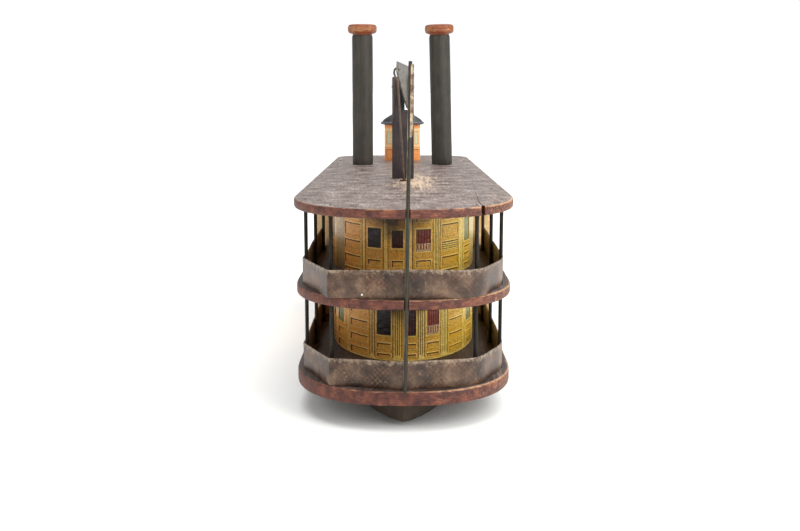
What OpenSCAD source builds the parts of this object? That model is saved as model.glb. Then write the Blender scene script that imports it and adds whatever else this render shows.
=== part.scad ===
// Toy river steamer: three wooden deck boards on wire posts over a shallow wheeled hull, with
// card railings, a two-storey paper-covered house, paddle boxes, smokestacks and a pilothouse.
// A cranked axle in the hull rocks the walking beam through a wire rod.
// Millimetres. +Y points to the bow, +X to starboard, Z = 0 is the floor under the wheels.

/* [Decks] */
// Width of the lower and middle decks
deck_w = 144; // [120:1:174]
// Width of the upper deck
upper_w = 148.4; // [124:0.2:177]
// Width of all three decks where they begin to round off forward
fore_w = 137; // [116:1:165]
// Length of the lower deck, stern to stem
deck_len = 580; // [500:1:700]
// Length of the two covered decks
cabin_deck_len = 539; // [455:1:540]
// Length of the rounded stern end of the lower and middle decks
stern_round = 80; // [60:1:100]
// Length of the rounded stern end of the upper deck
upper_round = 92; // [60:1:110]
// Length of the pointed bow of the lower deck
bow_len = 160; // [120:1:190]
// Length of the rounded forward end of the covered decks
fore_round = 36; // [20:1:50]
// Thickness of the lower deck board
lower_deck_t = 9.5; // [6:0.5:12]
// Thickness of the middle deck board
middle_deck_t = 6.5; // [4:0.5:9]
// Thickness of the upper deck board
upper_deck_t = 6; // [4:0.5:9]
// Height from the lower deck's top to the middle deck's
lower_storey = 57.7; // [48:0.1:70]
// Height from the middle deck's top to the upper deck's
upper_storey = 55.9; // [46:0.1:68]

/* [Hull] */
// Thickness of the hull board
hull_t = 13.5; // [12:0.5:20]
// Gap between the hull and the floor
floor_gap = 3; // [2:0.5:6]
// How far the hull is set in from the edge of the deck
hull_inset = 10; // [6:0.5:16]
// Narrowing of the hull's sides below that inset
hull_side_inset = 8; // [4:0.5:12]

/* [Running gear] */
// Diameter of the axle wires
axle_d = 3; // [2:0.1:4]
// Running clearance round each axle
axle_clearance = 0.08; // [0.02:0.01:0.1]
// Diameter of the front wheels
front_wheel_d = 23; // [18:0.5:24]
// Thickness of the wheels
wheel_t = 5; // [3:0.5:7]
// Distance from the centre line to each wheel's middle
wheel_track = 34; // [28:0.5:36]
// Throw of the crank
crank_throw = 10; // [6:0.5:11]
// Distance of the front axle behind the stem
front_axle_back = 125; // [110:1:150]

/* [House] */
// Width of the deckhouse
house_w = 104; // [86:1:110]
// Length of the rounded stern end of the house
house_stern_round = 90; // [60:1:100]
// Length of the rounded forward end of the house
house_fore_round = 70; // [40:1:80]
// Open deck behind the house
stern_porch = 78; // [65:1:90]
// Open deck ahead of the house on the covered decks
fore_porch = 58; // [50:1:70]
// Thickness of the house's side boards
house_board = 5; // [3:0.5:7]
// Thickness of the printed paper
paper_t = 0.3; // [0.2:0.1:0.5]

/* [Rails and posts] */
// Height of the card rails
rail_h = 18.4; // [14:0.2:24]
// Thickness of the rail card
rail_t = 1; // [0.6:0.1:1.5]
// Distance from the deck's edge to the middle of the rail
rail_inset = 5.5; // [4:0.1:7]
// Diameter of the posts
post_d = 2.5; // [2:0.1:3]

/* [Paddle boxes] */
// Length of a paddle box
paddle_len = 128; // [90:1:150]
// How far a paddle box stands out past the deck's edge
paddle_proud = 2; // [1:0.5:4]
// Distance from the stern to the paddle boxes
paddle_aft = 241; // [225:1:260]

/* [Stacks and pilothouse] */
// Diameter of the smokestacks
stack_d = 19.4; // [16:0.2:24]
// Height of a smokestack above the deck, with its cap
stack_h = 130.6; // [110:0.2:160]
// Distance of each stack from the centre line
stack_side = 37.7; // [30:0.1:45]
// Distance from the stern to the stacks
stack_aft = 396; // [375:1:400]
// Inboard lean of the starboard stack
stack_lean = 1.5; // [0:0.1:2]
// Diameter of the turned caps
cap_d = 27; // [24:0.2:32]
// Height of the turned caps
cap_h = 9.5; // [7:0.5:12]
// Diameter of the pegs under the stacks
peg_d = 8; // [6:0.5:10]
// Width of the pilothouse
pilot_w = 35; // [28:0.5:42]
// Height of the pilothouse up to its eaves
pilot_h = 35.7; // [30:0.1:42]
// Distance of the pilothouse ahead of the stacks
pilot_ahead = 66; // [50:1:70]
// Diameter of the pilothouse roof
roof_d = 44; // [40:0.5:50]
// Height of the roof's cone above its eaves
roof_h = 11; // [4:0.5:14]
// Diameter of the roof's blunt tip
roof_tip = 2; // [1:0.5:4]
// Thickness of the roof's edge
roof_edge = 2.6; // [1.5:0.1:4]

/* [Walking beam] */
// Height of the gallows above the upper deck
gallows_h = 81; // [75:0.5:95]
// Thickness of the gallows, fore and aft
gallows_t = 7; // [5:0.5:9]
// Width of the gallows' port leg
port_leg_w = 7.8; // [6:0.1:10]
// Width of the gallows' starboard leg
starboard_leg_w = 3; // [2.5:0.1:5]
// Width of the strip that fills part of the fork
strip_w = 2.2; // [1.6:0.1:2.6]
// Width of the free slot in the fork
slot_w = 4.4; // [4.2:0.1:5.5]
// Height of the beam's pin above the upper deck
pivot_h = 73; // [68:0.5:80]
// Diameter of the beam's pin
pin_d = 2.4; // [2:0.1:3]
// Distance from the stern to the gallows
gallows_aft = 231; // [222:1:240]
// Distance of the crank axle ahead of the gallows
crank_ahead = 22; // [18:1:26]
// Length of the walking beam
beam_len = 104; // [90:1:130]
// Height of the beam at its middle
beam_h = 34; // [28:0.5:40]
// Height of the beam at its blunt ends
beam_end_h = 8; // [6:0.5:12]
// Thickness of the beam's plate
beam_t = 1.2; // [0.8:0.1:1.4]
// Tilt of the beam at rest, stern end up
beam_tilt = 17; // [0:1:20]
// Bend of the beam's stern half to port
beam_yaw = 9; // [0:0.5:9]
// Bend of the beam's forward half to starboard
beam_fore_yaw = 1.5; // [0:0.5:9]
// Diameter of the connecting rod's wire
rod_d = 1.5; // [1.2:0.1:1.8]

/* [Flagstaff] */
// Diameter of the flagstaff
staff_d = 2.5; // [2:0.1:3]
// Height of the flagstaff above the upper deck
staff_over = 88; // [60:1:120]
// Lean of the flagstaff to starboard
staff_lean = 0.85; // [0:0.05:1]
// Height of the torn flag that is left on the staff
flag_h = 46; // [30:1:55]
// How far the torn flag stands out from the staff
flag_w = 2.2; // [1:0.1:4]
// Thickness of the pasted paper of the flag
flag_t = 0.5; // [0.3:0.1:0.8]

/* [Hidden] */
$fn = 64;

// Small shared clearances
fit = 0.05;
gap = 0.3;
// Steps round each rounded end
arc_steps = 30;
// How square the rounded ends of the decks are
deck_power = 2.3;
fore_power = 2.8;
// How full the pointed bow is: lower is fuller
bow_power = 0.8;
// The hull's stern is longer and leaner than the deck's, and its bow keeps nearer to the stem
hull_stern_share = 2.25;
hull_power = 1.5;
hull_bow_share = 0.6;

// Heights
hull_top = floor_gap + hull_t;
lower_top = hull_top + lower_deck_t;
middle_top = lower_top + lower_storey;
upper_top = middle_top + upper_storey;
middle_under = middle_top - middle_deck_t;
upper_under = upper_top - upper_deck_t;

// Fore and aft places
stern_y = -deck_len / 2;
stem_y = deck_len / 2;
cabin_fore_y = stern_y + cabin_deck_len;
deck_half = deck_w / 2;
fore_half = fore_w / 2;
upper_half = upper_w / 2;
house_half = house_w / 2;
house_stern_y = stern_y + stern_porch;
house_fore_y = cabin_fore_y - fore_porch;
wall_aft_y = house_stern_y + house_stern_round;
wall_fore_y = house_fore_y - house_fore_round;
paddle_y0 = stern_y + paddle_aft;
paddle_y1 = paddle_y0 + paddle_len;
paddle_in = house_half + paper_t + gap;
paddle_out = (deck_half + fore_half) / 2 + paddle_proud;

// Running gear: the main axle lies between the hull and the lower deck
axle_r = axle_d / 2;
main_wheel_r = hull_top;
front_wheel_r = front_wheel_d / 2;
front_axle_y = stem_y - front_axle_back;
wheel_gap = 1;

// Gallows and beam
gallows_y = stern_y + gallows_aft;
fork_left = -port_leg_w / 2 - strip_w / 2 - slot_w / 2 - starboard_leg_w / 2;
strip_x = fork_left + port_leg_w;
slot_x = strip_x + strip_w;
leg_x = slot_x + slot_w;
fork_right = leg_x + starboard_leg_w;
beam_x = slot_x + slot_w / 2;
pivot_z = upper_top + pivot_h;
beam_roll = 2;
rod_hole_in = 4;
rod_hole_s = beam_len / 2 - rod_hole_in;
rod_hole_t = 1.5;
hook_r = 3.3;
hook_play = 1.2;

// The rod's upper end, from the same turns as the beam's plate
hole_x = beam_x - rod_hole_s * sin(beam_yaw) - rod_hole_t * sin(beam_roll);
hole_flat_y = -rod_hole_s * cos(beam_yaw);
hole_y = gallows_y + hole_flat_y * cos(beam_tilt) - rod_hole_t * sin(beam_tilt);
hole_z = pivot_z - hole_flat_y * sin(beam_tilt) - rod_hole_t * cos(beam_tilt);

// The rod's lower end stands clear of the crank pin, on its stern side
crank_x = 8;
crank_half = 4;
rod_clear = 1;
main_axle_y = gallows_y + crank_ahead;
rod_end_y = main_axle_y - axle_r - rod_d / 2 - rod_clear;
rod_end_z = hull_top + crank_throw + axle_r;
rod_top = [hole_x, hole_y, hole_z - 2 * hook_r];
rod_end = [crank_x, rod_end_y, rod_end_z];

// Fraction of the rod's run at a given height, and the place there
function rod_share(z) = (rod_top[2] - z) / (rod_top[2] - rod_end[2]);
function rod_at(z) = rod_top + (rod_end - rod_top) * rod_share(z);

// Rounded stern end of a board, from port to starboard; a power above 2 squares it off
function stern_arc(half, apex, len, power) =
    [for (i = [0 : arc_steps]) let (a = 180 * i / arc_steps, c = -cos(a), s = sin(a))
        [half * sign(c) * pow(abs(c), 2 / power), apex + len - len * pow(s, 2 / power)]];
// Rounded forward end, from starboard to port
function fore_arc(half, apex, len, power) =
    [for (i = [0 : arc_steps]) let (a = 180 * i / arc_steps, c = cos(a), s = sin(a))
        [half * sign(c) * pow(abs(c), 2 / power), apex - len + len * pow(s, 2 / power)]];
// Pointed bow, from starboard to port
function bow_half(u) = pow(1 - u * u, bow_power);
function bow_arc(half, apex, len) = concat(
    [for (i = [0 : arc_steps]) let (u = i / arc_steps) [half * bow_half(u), apex - len + len * u]],
    [for (i = [arc_steps - 1 : -1 : 0]) let (u = i / arc_steps)
        [-half * bow_half(u), apex - len + len * u]]);

// Unit normals and mitred offset of an open path in plan
function seg_normal(p, q) = let (d = q - p, l = norm(d)) [-d[1] / l, d[0] / l];
function path_normal(p, i) =
    let (n = len(p),
         a = i == 0 ? seg_normal(p[0], p[1]) : seg_normal(p[i - 1], p[i]),
         b = i == n - 1 ? seg_normal(p[n - 2], p[n - 1]) : seg_normal(p[i], p[i + 1]),
         m = a + b)
    m * 2 / (m * m);
function offset_path(p, d) = [for (i = [0 : len(p) - 1]) p[i] + d * path_normal(p, i)];
function reversed(p) = [for (i = [len(p) - 1 : -1 : 0]) p[i]];

// Line of the side rails, which draws in towards the bow
rail_x = deck_half - rail_inset;
rail_fore_x = fore_half - rail_inset;
rail_aft_in = 60;
rail_aft_y = stern_y + rail_aft_in;
rail_fore_y = cabin_fore_y - fore_round;
function rail_at(y) =
    rail_x + (rail_fore_x - rail_x) * (y - rail_aft_y) / (rail_fore_y - rail_aft_y);

// Creases of the stern rails: share of the half width, and distances in from the deck's end
stern_crease_share = 0.705;
stern_middle_in = 3.8;
lower_crease_in = 16;
middle_crease_in = 8;
// Creases of the middle deck's forward rail
fore_crease_share = 0.7;
fore_crease_in = 10;
fore_middle_in = 4.5;
// Creases of the bow rail: each is a share of the half width and a share of the bow's length
bow_creases = [[0.83, 0.5], [0.5, 0.26]];
bow_bend_share = 0.82;
bow_tip_in = 14;

// Rail paths in plan, from starboard to port round the bow, and from port to starboard aft
function mirrored(p) = [for (i = [len(p) - 1 : -1 : 0]) [-p[i][0], p[i][1]]];
function both_sides(half, middle) = concat(half, [middle], mirrored(half));
rail_aft_end = paddle_y0 - gap;
rail_fore_end = paddle_y1 + gap;
function stern_path(crease_in) = both_sides(
    [[-rail_at(rail_aft_end), rail_aft_end], [-rail_x, rail_aft_y],
     [-rail_x * stern_crease_share, stern_y + crease_in]],
    [0, stern_y + stern_middle_in]);
lower_stern_path = stern_path(lower_crease_in);
middle_stern_path = stern_path(middle_crease_in);
middle_bow_path = both_sides(
    [[rail_at(rail_fore_end), rail_fore_end], [rail_fore_x, rail_fore_y],
     [rail_fore_x * fore_crease_share, cabin_fore_y - fore_crease_in]],
    [0, cabin_fore_y - fore_middle_in]);
bow_bend_y = stem_y - bow_len * bow_bend_share;
lower_bow_path = both_sides(
    concat([[rail_at(rail_fore_end), rail_fore_end], [rail_at(bow_bend_y), bow_bend_y]],
           [for (c = bow_creases) [rail_fore_x * c[0], stem_y - bow_len * c[1]]]),
    [0, stem_y - bow_tip_in]);

// Post places on the starboard side, just inside the rails: distances ahead of the stern and
// ahead of the paddle boxes, then the posts at the rounded ends
aft_post_places = [61, 135, 210];
fore_post_places = [26, 76];
stern_post_share = 0.69;
stern_post_in = 26;
fore_post_x = 27;
fore_post_in = 14;
corner_post_back = 1;
post_r = post_d / 2;
post_play = 0.25;
post_in = rail_t / 2 + post_r + post_play;
function side_post(y) = [rail_at(y) - post_in, y];
aft_posts = concat([for (d = aft_post_places) side_post(stern_y + d)],
                   [[rail_x * stern_post_share, stern_y + stern_post_in]]);
fore_posts = concat([for (d = fore_post_places) side_post(paddle_y1 + d)],
                    [[fore_post_x, cabin_fore_y - fore_post_in]]);
corner_post = side_post(rail_fore_y - corner_post_back);

// Board of a given outline
module board(points, z0, t) {
    translate([0, 0, z0])
        linear_extrude(height = t)
            polygon(points);
}

// Slot in a deck for the slanted rod as it works up and down
rod_slot_port = 3.6;
rod_slot_w = 6.4;
rod_slot_aft = 12;
rod_slot_len = 17;
module rod_slot(z0, t) {
    p = rod_at(z0 + t / 2);
    translate([p[0] - rod_slot_port, p[1] - rod_slot_aft, z0 - 1])
        cube([rod_slot_w, rod_slot_len, t + 2]);
}

// Notch in a deck's stern edge for the flagstaff
staff_r = staff_d / 2;
staff_x = 0.8;
staff_in = 0.1;
staff_y = stern_y + staff_r + staff_in;
module staff_notch(z0, t) {
    lean_x = staff_x + (z0 + t / 2 - lower_top) * tan(staff_lean);
    translate([lean_x - staff_r - gap, stern_y - 1, z0 - 1])
        cube([2 * (staff_r + gap), staff_y + staff_r + gap - stern_y + 1, t + 2]);
}

// Half-round seat for an axle, cut along X
module axle_bore(y, z, half) {
    translate([-half, y, z])
        rotate([0, 90, 0])
            cylinder(h = 2 * half, r = axle_r + axle_clearance);
}

// Pair of wheel wells
module wheel_wells(y, r, z0, z1) {
    for (side = [-1, 1])
        translate([side * wheel_track - wheel_t / 2 - wheel_gap, y - r - wheel_gap, z0])
            cube([wheel_t + 2 * wheel_gap, 2 * (r + wheel_gap), z1 - z0]);
}

// Well in which the crank turns
module crank_well(z0, z1) {
    reach = crank_throw + axle_r + wheel_gap;
    translate([crank_x - crank_half - axle_r - wheel_gap, main_axle_y - reach, z0])
        cube([2 * (crank_half + axle_r + wheel_gap), 2 * reach, z1 - z0]);
}

// Hull board: narrower than the deck, lean and round-ended aft and pointed forward
module hull() {
    half = deck_half - hull_inset - hull_side_inset;
    color("#3a2a22")
        difference() {
            board(concat(stern_arc(half, stern_y + hull_inset, stern_round * hull_stern_share,
                                   hull_power),
                         bow_arc(half, stem_y - hull_inset * hull_bow_share, bow_len)),
                  floor_gap, hull_t);
            wheel_wells(main_axle_y, main_wheel_r, 0, hull_top + 1);
            wheel_wells(front_axle_y, front_wheel_r, 0, hull_top + 1);
            crank_well(0, hull_top + 1);
            axle_bore(main_axle_y, hull_top, axle_half);
            axle_bore(front_axle_y, front_wheel_r, axle_half);
        }
}

// Lower deck: the one board that reaches the stem
module lower_deck() {
    well_top = 2 * (front_wheel_r + wheel_gap);
    color("#5b3427")
        difference() {
            board(concat(stern_arc(deck_half, stern_y, stern_round, deck_power),
                         bow_arc(fore_half, stem_y, bow_len)),
                  hull_top, lower_deck_t);
            wheel_wells(main_axle_y, main_wheel_r, hull_top - 1, lower_top + 1);
            wheel_wells(front_axle_y, front_wheel_r, hull_top - 1, well_top);
            crank_well(hull_top - 1, lower_top + 1);
            axle_bore(main_axle_y, hull_top, axle_half);
            translate([staff_x, staff_y, lower_top])
                rotate([0, staff_lean, 0])
                    cylinder(h = 2 * lower_deck_t + 1, r = staff_r + fit, center = true);
        }
}

// Middle deck: notched on both sides for the paddle boxes
module middle_deck() {
    color("#54382d")
        difference() {
            board(concat(stern_arc(deck_half, stern_y, stern_round, deck_power),
                         fore_arc(fore_half, cabin_fore_y, fore_round, fore_power)),
                  middle_under, middle_deck_t);
            for (side = [0, 1])
                mirror([side, 0, 0])
                    translate([paddle_in - gap, paddle_y0 - gap, middle_under - 1])
                        cube([deck_w, paddle_len + 2 * gap, middle_deck_t + 2]);
            rod_slot(middle_under, middle_deck_t);
            staff_notch(middle_under, middle_deck_t);
        }
}

// Upper deck: carries the stacks, the pilothouse and the gallows
module upper_deck() {
    color("#65504a")
        difference() {
            board(concat(stern_arc(upper_half, stern_y, upper_round, deck_power),
                         fore_arc(fore_half, cabin_fore_y, fore_round, fore_power)),
                  upper_under, upper_deck_t);
            rod_slot(upper_under, upper_deck_t);
            staff_notch(upper_under, upper_deck_t);
            for (side = [-1, 1])
                translate([side * stack_side, stack_y, upper_under - 1])
                    cylinder(h = upper_deck_t + 2, d = peg_d + 2 * fit);
        }
}

// Rounded wooden blocks at the two ends of a house storey
module house_stern_block(z0, h) {
    color("#8f6a3c")
        board(stern_arc(house_half, house_stern_y, house_stern_round, 2), z0, h);
}
module house_bow_block(z0, h) {
    color("#8f6a3c")
        board(fore_arc(house_half, house_fore_y, house_fore_round, 2), z0, h);
}
// Thin board along one side of a house storey
module house_side(side, z0, h) {
    x0 = side > 0 ? house_half - house_board : -house_half;
    color("#8f6a3c")
        translate([x0, wall_aft_y, z0])
            cube([house_board, wall_fore_y - wall_aft_y, h]);
}
// Printed paper glued round a house storey
module house_paper(z0, h) {
    color("#c08a3a")
        difference() {
            board(concat(stern_arc(house_half + paper_t, house_stern_y - paper_t,
                                   house_stern_round + paper_t, 2),
                         fore_arc(house_half + paper_t, house_fore_y + paper_t,
                                  house_fore_round + paper_t, 2)), z0, h);
            board(concat(stern_arc(house_half, house_stern_y, house_stern_round, 2),
                         fore_arc(house_half, house_fore_y, house_fore_round, 2)),
                  z0 - 1, h + 2);
        }
}

lower_h = middle_under - lower_top;
upper_h = upper_under - middle_top;
module lower_house_stern_block() { house_stern_block(lower_top, lower_h); }
module lower_house_bow_block() { house_bow_block(lower_top, lower_h); }
module lower_house_port_side() { house_side(-1, lower_top, lower_h); }
module lower_house_starboard_side() { house_side(1, lower_top, lower_h); }
module lower_house_paper() { house_paper(lower_top, lower_h); }
module upper_house_stern_block() { house_stern_block(middle_top, upper_h); }
module upper_house_bow_block() { house_bow_block(middle_top, upper_h); }
module upper_house_port_side() { house_side(-1, middle_top, upper_h); }
module upper_house_starboard_side() { house_side(1, middle_top, upper_h); }
module upper_house_paper() { house_paper(middle_top, upper_h); }

// Side view of a paddle box: straight flanks under a half-round top
paddle_r = paddle_len / 2;
paddle_h = upper_under - lower_top;
paddle_flank = paddle_h - paddle_r;
module paddle_profile() {
    translate([-paddle_flank, -paddle_r])
        square([paddle_flank, paddle_len]);
    intersection() {
        circle(r = paddle_r, $fn = 96);
        translate([0, -paddle_r])
            square([paddle_r, paddle_len]);
    }
}
// Slab of that profile, its faces square to X
module paddle_slab(x0, t) {
    translate([x0, (paddle_y0 + paddle_y1) / 2, lower_top + paddle_flank])
        rotate([0, -90, 0])
            mirror([0, 0, 1])
                linear_extrude(height = t)
                    paddle_profile();
}
module paddle_box(side) {
    color("#b89668")
        mirror([side > 0 ? 0 : 1, 0, 0])
            paddle_slab(paddle_in, paddle_out - paddle_in);
}
module paddle_paper(side) {
    color("#c9a05a")
        mirror([side > 0 ? 0 : 1, 0, 0])
            paddle_slab(paddle_out, paper_t);
}
module paddle_box_port() { paddle_box(-1); }
module paddle_box_starboard() { paddle_box(1); }
module paddle_paper_port() { paddle_paper(-1); }
module paddle_paper_starboard() { paddle_paper(1); }

// Bent card rail standing on a deck
module rail(path, z0) {
    color("#4b3a33")
        translate([0, 0, z0])
            linear_extrude(height = rail_h)
                polygon(concat(offset_path(path, rail_t / 2),
                               reversed(offset_path(path, -rail_t / 2))));
}
module lower_stern_rail() { rail(lower_stern_path, lower_top); }
module lower_bow_rail() { rail(lower_bow_path, lower_top); }
module middle_stern_rail() { rail(middle_stern_path, middle_top); }
module middle_bow_rail() { rail(middle_bow_path, middle_top); }

// Wire posts between two decks
module posts(places, z0, h) {
    color("#3c4038")
        for (p = places, side = [-1, 1])
            translate([side * p[0], p[1], z0])
                cylinder(h = h, r = post_r);
}
module lower_posts() { posts(concat(aft_posts, fore_posts), lower_top, lower_h); }
module middle_posts() {
    posts(concat(aft_posts, fore_posts, [corner_post]), middle_top, upper_h);
}

// Turned smokestacks on pegs, with turned caps
stack_y = stern_y + stack_aft;
stack_body = stack_h - cap_h;
peg_up = 10;
module lean_stack(side) {
    translate([side * stack_side, stack_y, upper_top])
        rotate([0, side > 0 ? -stack_lean : 0, 0])
            children();
}
module smokestack(side) {
    color("#39423c")
        difference() {
            lean_stack(side)
                translate([0, 0, -1])
                    cylinder(h = stack_body + 1, d = stack_d);
            translate([side * stack_side, stack_y, upper_top - 1])
                cylinder(h = peg_up + 1 + fit, d = peg_d + 2 * fit);
            translate([side * stack_side - stack_d, stack_y - stack_d, upper_top - stack_d])
                cube([2 * stack_d, 2 * stack_d, stack_d]);
        }
}
module stack_cap(side) {
    rim = cap_h / 4;
    color("#9a5a2c")
        lean_stack(side)
            translate([0, 0, stack_body])
                rotate_extrude() {
                    square([cap_d / 2 - rim, cap_h]);
                    for (z = [rim, cap_h - rim])
                        translate([cap_d / 2 - rim, z])
                            circle(r = rim, $fn = 32);
                    square([cap_d / 2 - rim / 2, cap_h / 2]);
                }
}
module smokestack_port() { smokestack(-1); }
module smokestack_starboard() { smokestack(1); }
module stack_cap_port() { stack_cap(-1); }
module stack_cap_starboard() { stack_cap(1); }
module stack_pegs() {
    color("#a98455")
        for (side = [-1, 1])
            translate([side * stack_side, stack_y, upper_under])
                cylinder(h = upper_deck_t + peg_up, d = peg_d);
}

// Eight-sided pilothouse
pilot_y = stack_y + pilot_ahead;
flat_turn = 22.5;
module octagon(w, z0, h) {
    translate([0, pilot_y, z0])
        rotate([0, 0, flat_turn])
            cylinder(h = h, r = w / 2 / cos(flat_turn), $fn = 8);
}
module pilothouse() {
    color("#8f6a3c")
        octagon(pilot_w, upper_top, pilot_h);
}
module pilothouse_paper() {
    color("#d08a34")
        difference() {
            octagon(pilot_w + 2 * paper_t, upper_top, pilot_h);
            octagon(pilot_w, upper_top - 1, pilot_h + 2);
        }
}
module pilothouse_roof() {
    color("#20222a")
        translate([0, pilot_y, upper_top + pilot_h]) {
            cylinder(h = roof_edge, d = roof_d);
            translate([0, 0, roof_edge])
                cylinder(h = roof_h, d1 = roof_d, d2 = roof_tip);
        }
}

// Gallows: a forked wooden frame for the walking beam
beam_clear = 1.2;
fork_floor = pivot_h - beam_h / 2 - beam_clear;
module leg(x0, w) {
    translate([x0, gallows_y - gallows_t / 2, upper_top])
        cube([w, gallows_t, gallows_h]);
}
module pin_bore(extra) {
    translate([fork_left - 1, gallows_y, pivot_z])
        rotate([0, 90, 0])
            cylinder(h = fork_right - fork_left + 2, r = pin_d / 2 + extra);
}
module gallows() {
    color("#4d423f")
        difference() {
            union() {
                leg(fork_left, port_leg_w);
                leg(leg_x, starboard_leg_w);
                translate([strip_x, gallows_y - gallows_t / 2, upper_top])
                    cube([strip_w + slot_w, gallows_t, fork_floor]);
            }
            pin_bore(fit);
        }
}
// Thin round-topped strip glued inside the fork, a little taller than the legs
strip_over = 2;
strip_set_in = 1;
module gallows_strip() {
    strip_t = gallows_t - strip_set_in;
    strip_top = gallows_h + strip_over - strip_t / 2;
    color("#2f332f")
        difference() {
            union() {
                translate([strip_x, gallows_y - strip_t / 2, upper_top + fork_floor])
                    cube([strip_w, strip_t, strip_top - fork_floor]);
                translate([strip_x, gallows_y, upper_top + strip_top])
                    rotate([0, 90, 0])
                        cylinder(h = strip_w, d = strip_t);
            }
            pin_bore(fit);
        }
}
module beam_pin() {
    color("#8a8780")
        translate([fork_left, gallows_y, pivot_z])
            rotate([0, 90, 0])
                cylinder(h = fork_right - fork_left, d = pin_d);
}

// Walking beam: a cut tin diamond, loose on its pin and bent at it. Each half laps a little
// into the other, a step lower than the beam's corners.
bend_lap = 0.3;
bend_step = 0.5;
module beam_place(yaw) {
    translate([beam_x, gallows_y, pivot_z])
        rotate([-beam_tilt, 0, 0])
            rotate([0, 0, -yaw])
                rotate([0, beam_roll, 0])
                    children();
}
module beam_wing(end) {
    s = end * beam_len / 2;
    e = beam_end_h / 2;
    m = beam_h / 2;
    lap = -end * bend_lap;
    n = m - bend_step;
    translate([beam_t / 2, 0, 0])
        rotate([0, -90, 0])
            linear_extrude(height = beam_t)
                polygon([[-m, 0], [-e, s], [e, s], [m, 0], [n, 0], [n, lap], [-n, lap], [-n, 0]]);
}
module walking_beam() {
    color("#7c7a72")
        difference() {
            union() {
                beam_place(beam_yaw)
                    beam_wing(-1);
                beam_place(beam_fore_yaw)
                    beam_wing(1);
            }
            pin_bore(fit);
            translate([hole_x, hole_y, hole_z])
                rotate([0, 90, 0])
                    cylinder(h = 10, d = rod_d + hook_play, center = true);
        }
}

// Wire rod: a hook through the beam's stern end, then straight down to the crank
module connecting_rod() {
    v = rod_end - rod_top;
    color("#9c8156") {
        translate([hole_x, hole_y, hole_z - hook_r])
            rotate([90, 0, 0])
                rotate_extrude()
                    translate([hook_r, 0])
                        circle(d = rod_d, $fn = 24);
        translate(rod_top)
            rotate([0, acos(v[2] / norm(v)), atan2(v[1], v[0])])
                cylinder(h = norm(v), d = rod_d, $fn = 24);
    }
}

// Flagstaff in the stern edges of the three decks
module lean_staff() {
    translate([staff_x, staff_y, lower_top])
        rotate([0, staff_lean, 0])
            children();
}
staff_foot = 6;
staff_len = upper_top - lower_top + staff_over;
module flagstaff() {
    color("#2c2f2a")
        lean_staff()
            translate([0, 0, -staff_foot])
                cylinder(h = staff_len + staff_foot, r = staff_r);
}
// What is left of the paper flag: a strip that stands out from the staff
module flag_remnant() {
    color("#d8cdb4")
        lean_staff()
            translate([staff_r, -flag_t / 2, staff_len - flag_h])
                cube([flag_w, flag_t, flag_h]);
}

// Nail heads over the posts, and tacks in the rails
head_r = 0.9;
nail_head_h = 0.4;
tack_head_h = 0.5;
tack_places = [96, 170];
tack_up = 5;
tack_play = 0.02;
module deck_nails() {
    color("#3a3633")
        for (p = concat(aft_posts, fore_posts, [corner_post]), side = [-1, 1])
            translate([side * p[0], p[1], upper_top])
                cylinder(h = nail_head_h, r = head_r, $fn = 20);
}
module rail_tacks() {
    color("#cfc8b8")
        for (z0 = [lower_top, middle_top], side = [-1, 1], d = tack_places)
            let (y = stern_y + d)
                translate([side * (rail_at(y) + rail_t / 2 + tack_play), y, z0 + tack_up])
                    rotate([0, side * 90, 0])
                        cylinder(h = tack_head_h, r = head_r, $fn = 20);
}

// Axles and wheels
axle_over = 6;
axle_end_gap = 1;
axle_half = wheel_track + wheel_t / 2 + axle_over;
module rod_x(x0, x1, y, z) {
    translate([x0, y, z])
        rotate([0, 90, 0])
            cylinder(h = x1 - x0, r = axle_r);
}
module crank_axle() {
    left = crank_x - crank_half;
    right = crank_x + crank_half;
    color("#55524e") {
        rod_x(-axle_half + axle_end_gap, left, main_axle_y, hull_top);
        rod_x(right, axle_half - axle_end_gap, main_axle_y, hull_top);
        rod_x(left, right, main_axle_y, hull_top + crank_throw);
        for (x = [left, right]) {
            translate([x, main_axle_y, hull_top])
                cylinder(h = crank_throw, r = axle_r);
            for (z = [0, crank_throw])
                translate([x, main_axle_y, hull_top + z])
                    sphere(r = axle_r);
        }
    }
}
module front_axle() {
    color("#55524e")
        rod_x(-axle_half + axle_end_gap, axle_half - axle_end_gap, front_axle_y, front_wheel_r);
}
module wheel(side, y, r) {
    color("#7a4a2a")
        translate([side * wheel_track - wheel_t / 2, y, r])
            rotate([0, 90, 0])
                difference() {
                    cylinder(h = wheel_t, r = r);
                    translate([0, 0, -1])
                        cylinder(h = wheel_t + 2, r = axle_r + fit);
                }
}
module main_wheel_port() { wheel(-1, main_axle_y, main_wheel_r); }
module main_wheel_starboard() { wheel(1, main_axle_y, main_wheel_r); }
module front_wheel_port() { wheel(-1, front_axle_y, front_wheel_r); }
module front_wheel_starboard() { wheel(1, front_axle_y, front_wheel_r); }

hull();
lower_deck();
middle_deck();
upper_deck();
lower_house_stern_block();
lower_house_bow_block();
lower_house_port_side();
lower_house_starboard_side();
lower_house_paper();
upper_house_stern_block();
upper_house_bow_block();
upper_house_port_side();
upper_house_starboard_side();
upper_house_paper();
paddle_box_port();
paddle_box_starboard();
paddle_paper_port();
paddle_paper_starboard();
lower_stern_rail();
lower_bow_rail();
middle_stern_rail();
middle_bow_rail();
lower_posts();
middle_posts();
smokestack_port();
smokestack_starboard();
stack_cap_port();
stack_cap_starboard();
stack_pegs();
pilothouse();
pilothouse_paper();
pilothouse_roof();
gallows();
gallows_strip();
beam_pin();
walking_beam();
connecting_rod();
flagstaff();
flag_remnant();
deck_nails();
rail_tacks();
crank_axle();
main_wheel_port();
main_wheel_starboard();
front_axle();
front_wheel_port();
front_wheel_starboard();
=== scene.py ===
import math
from bisect import bisect_left

import bpy
from mathutils import Matrix, Vector, noise


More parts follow.
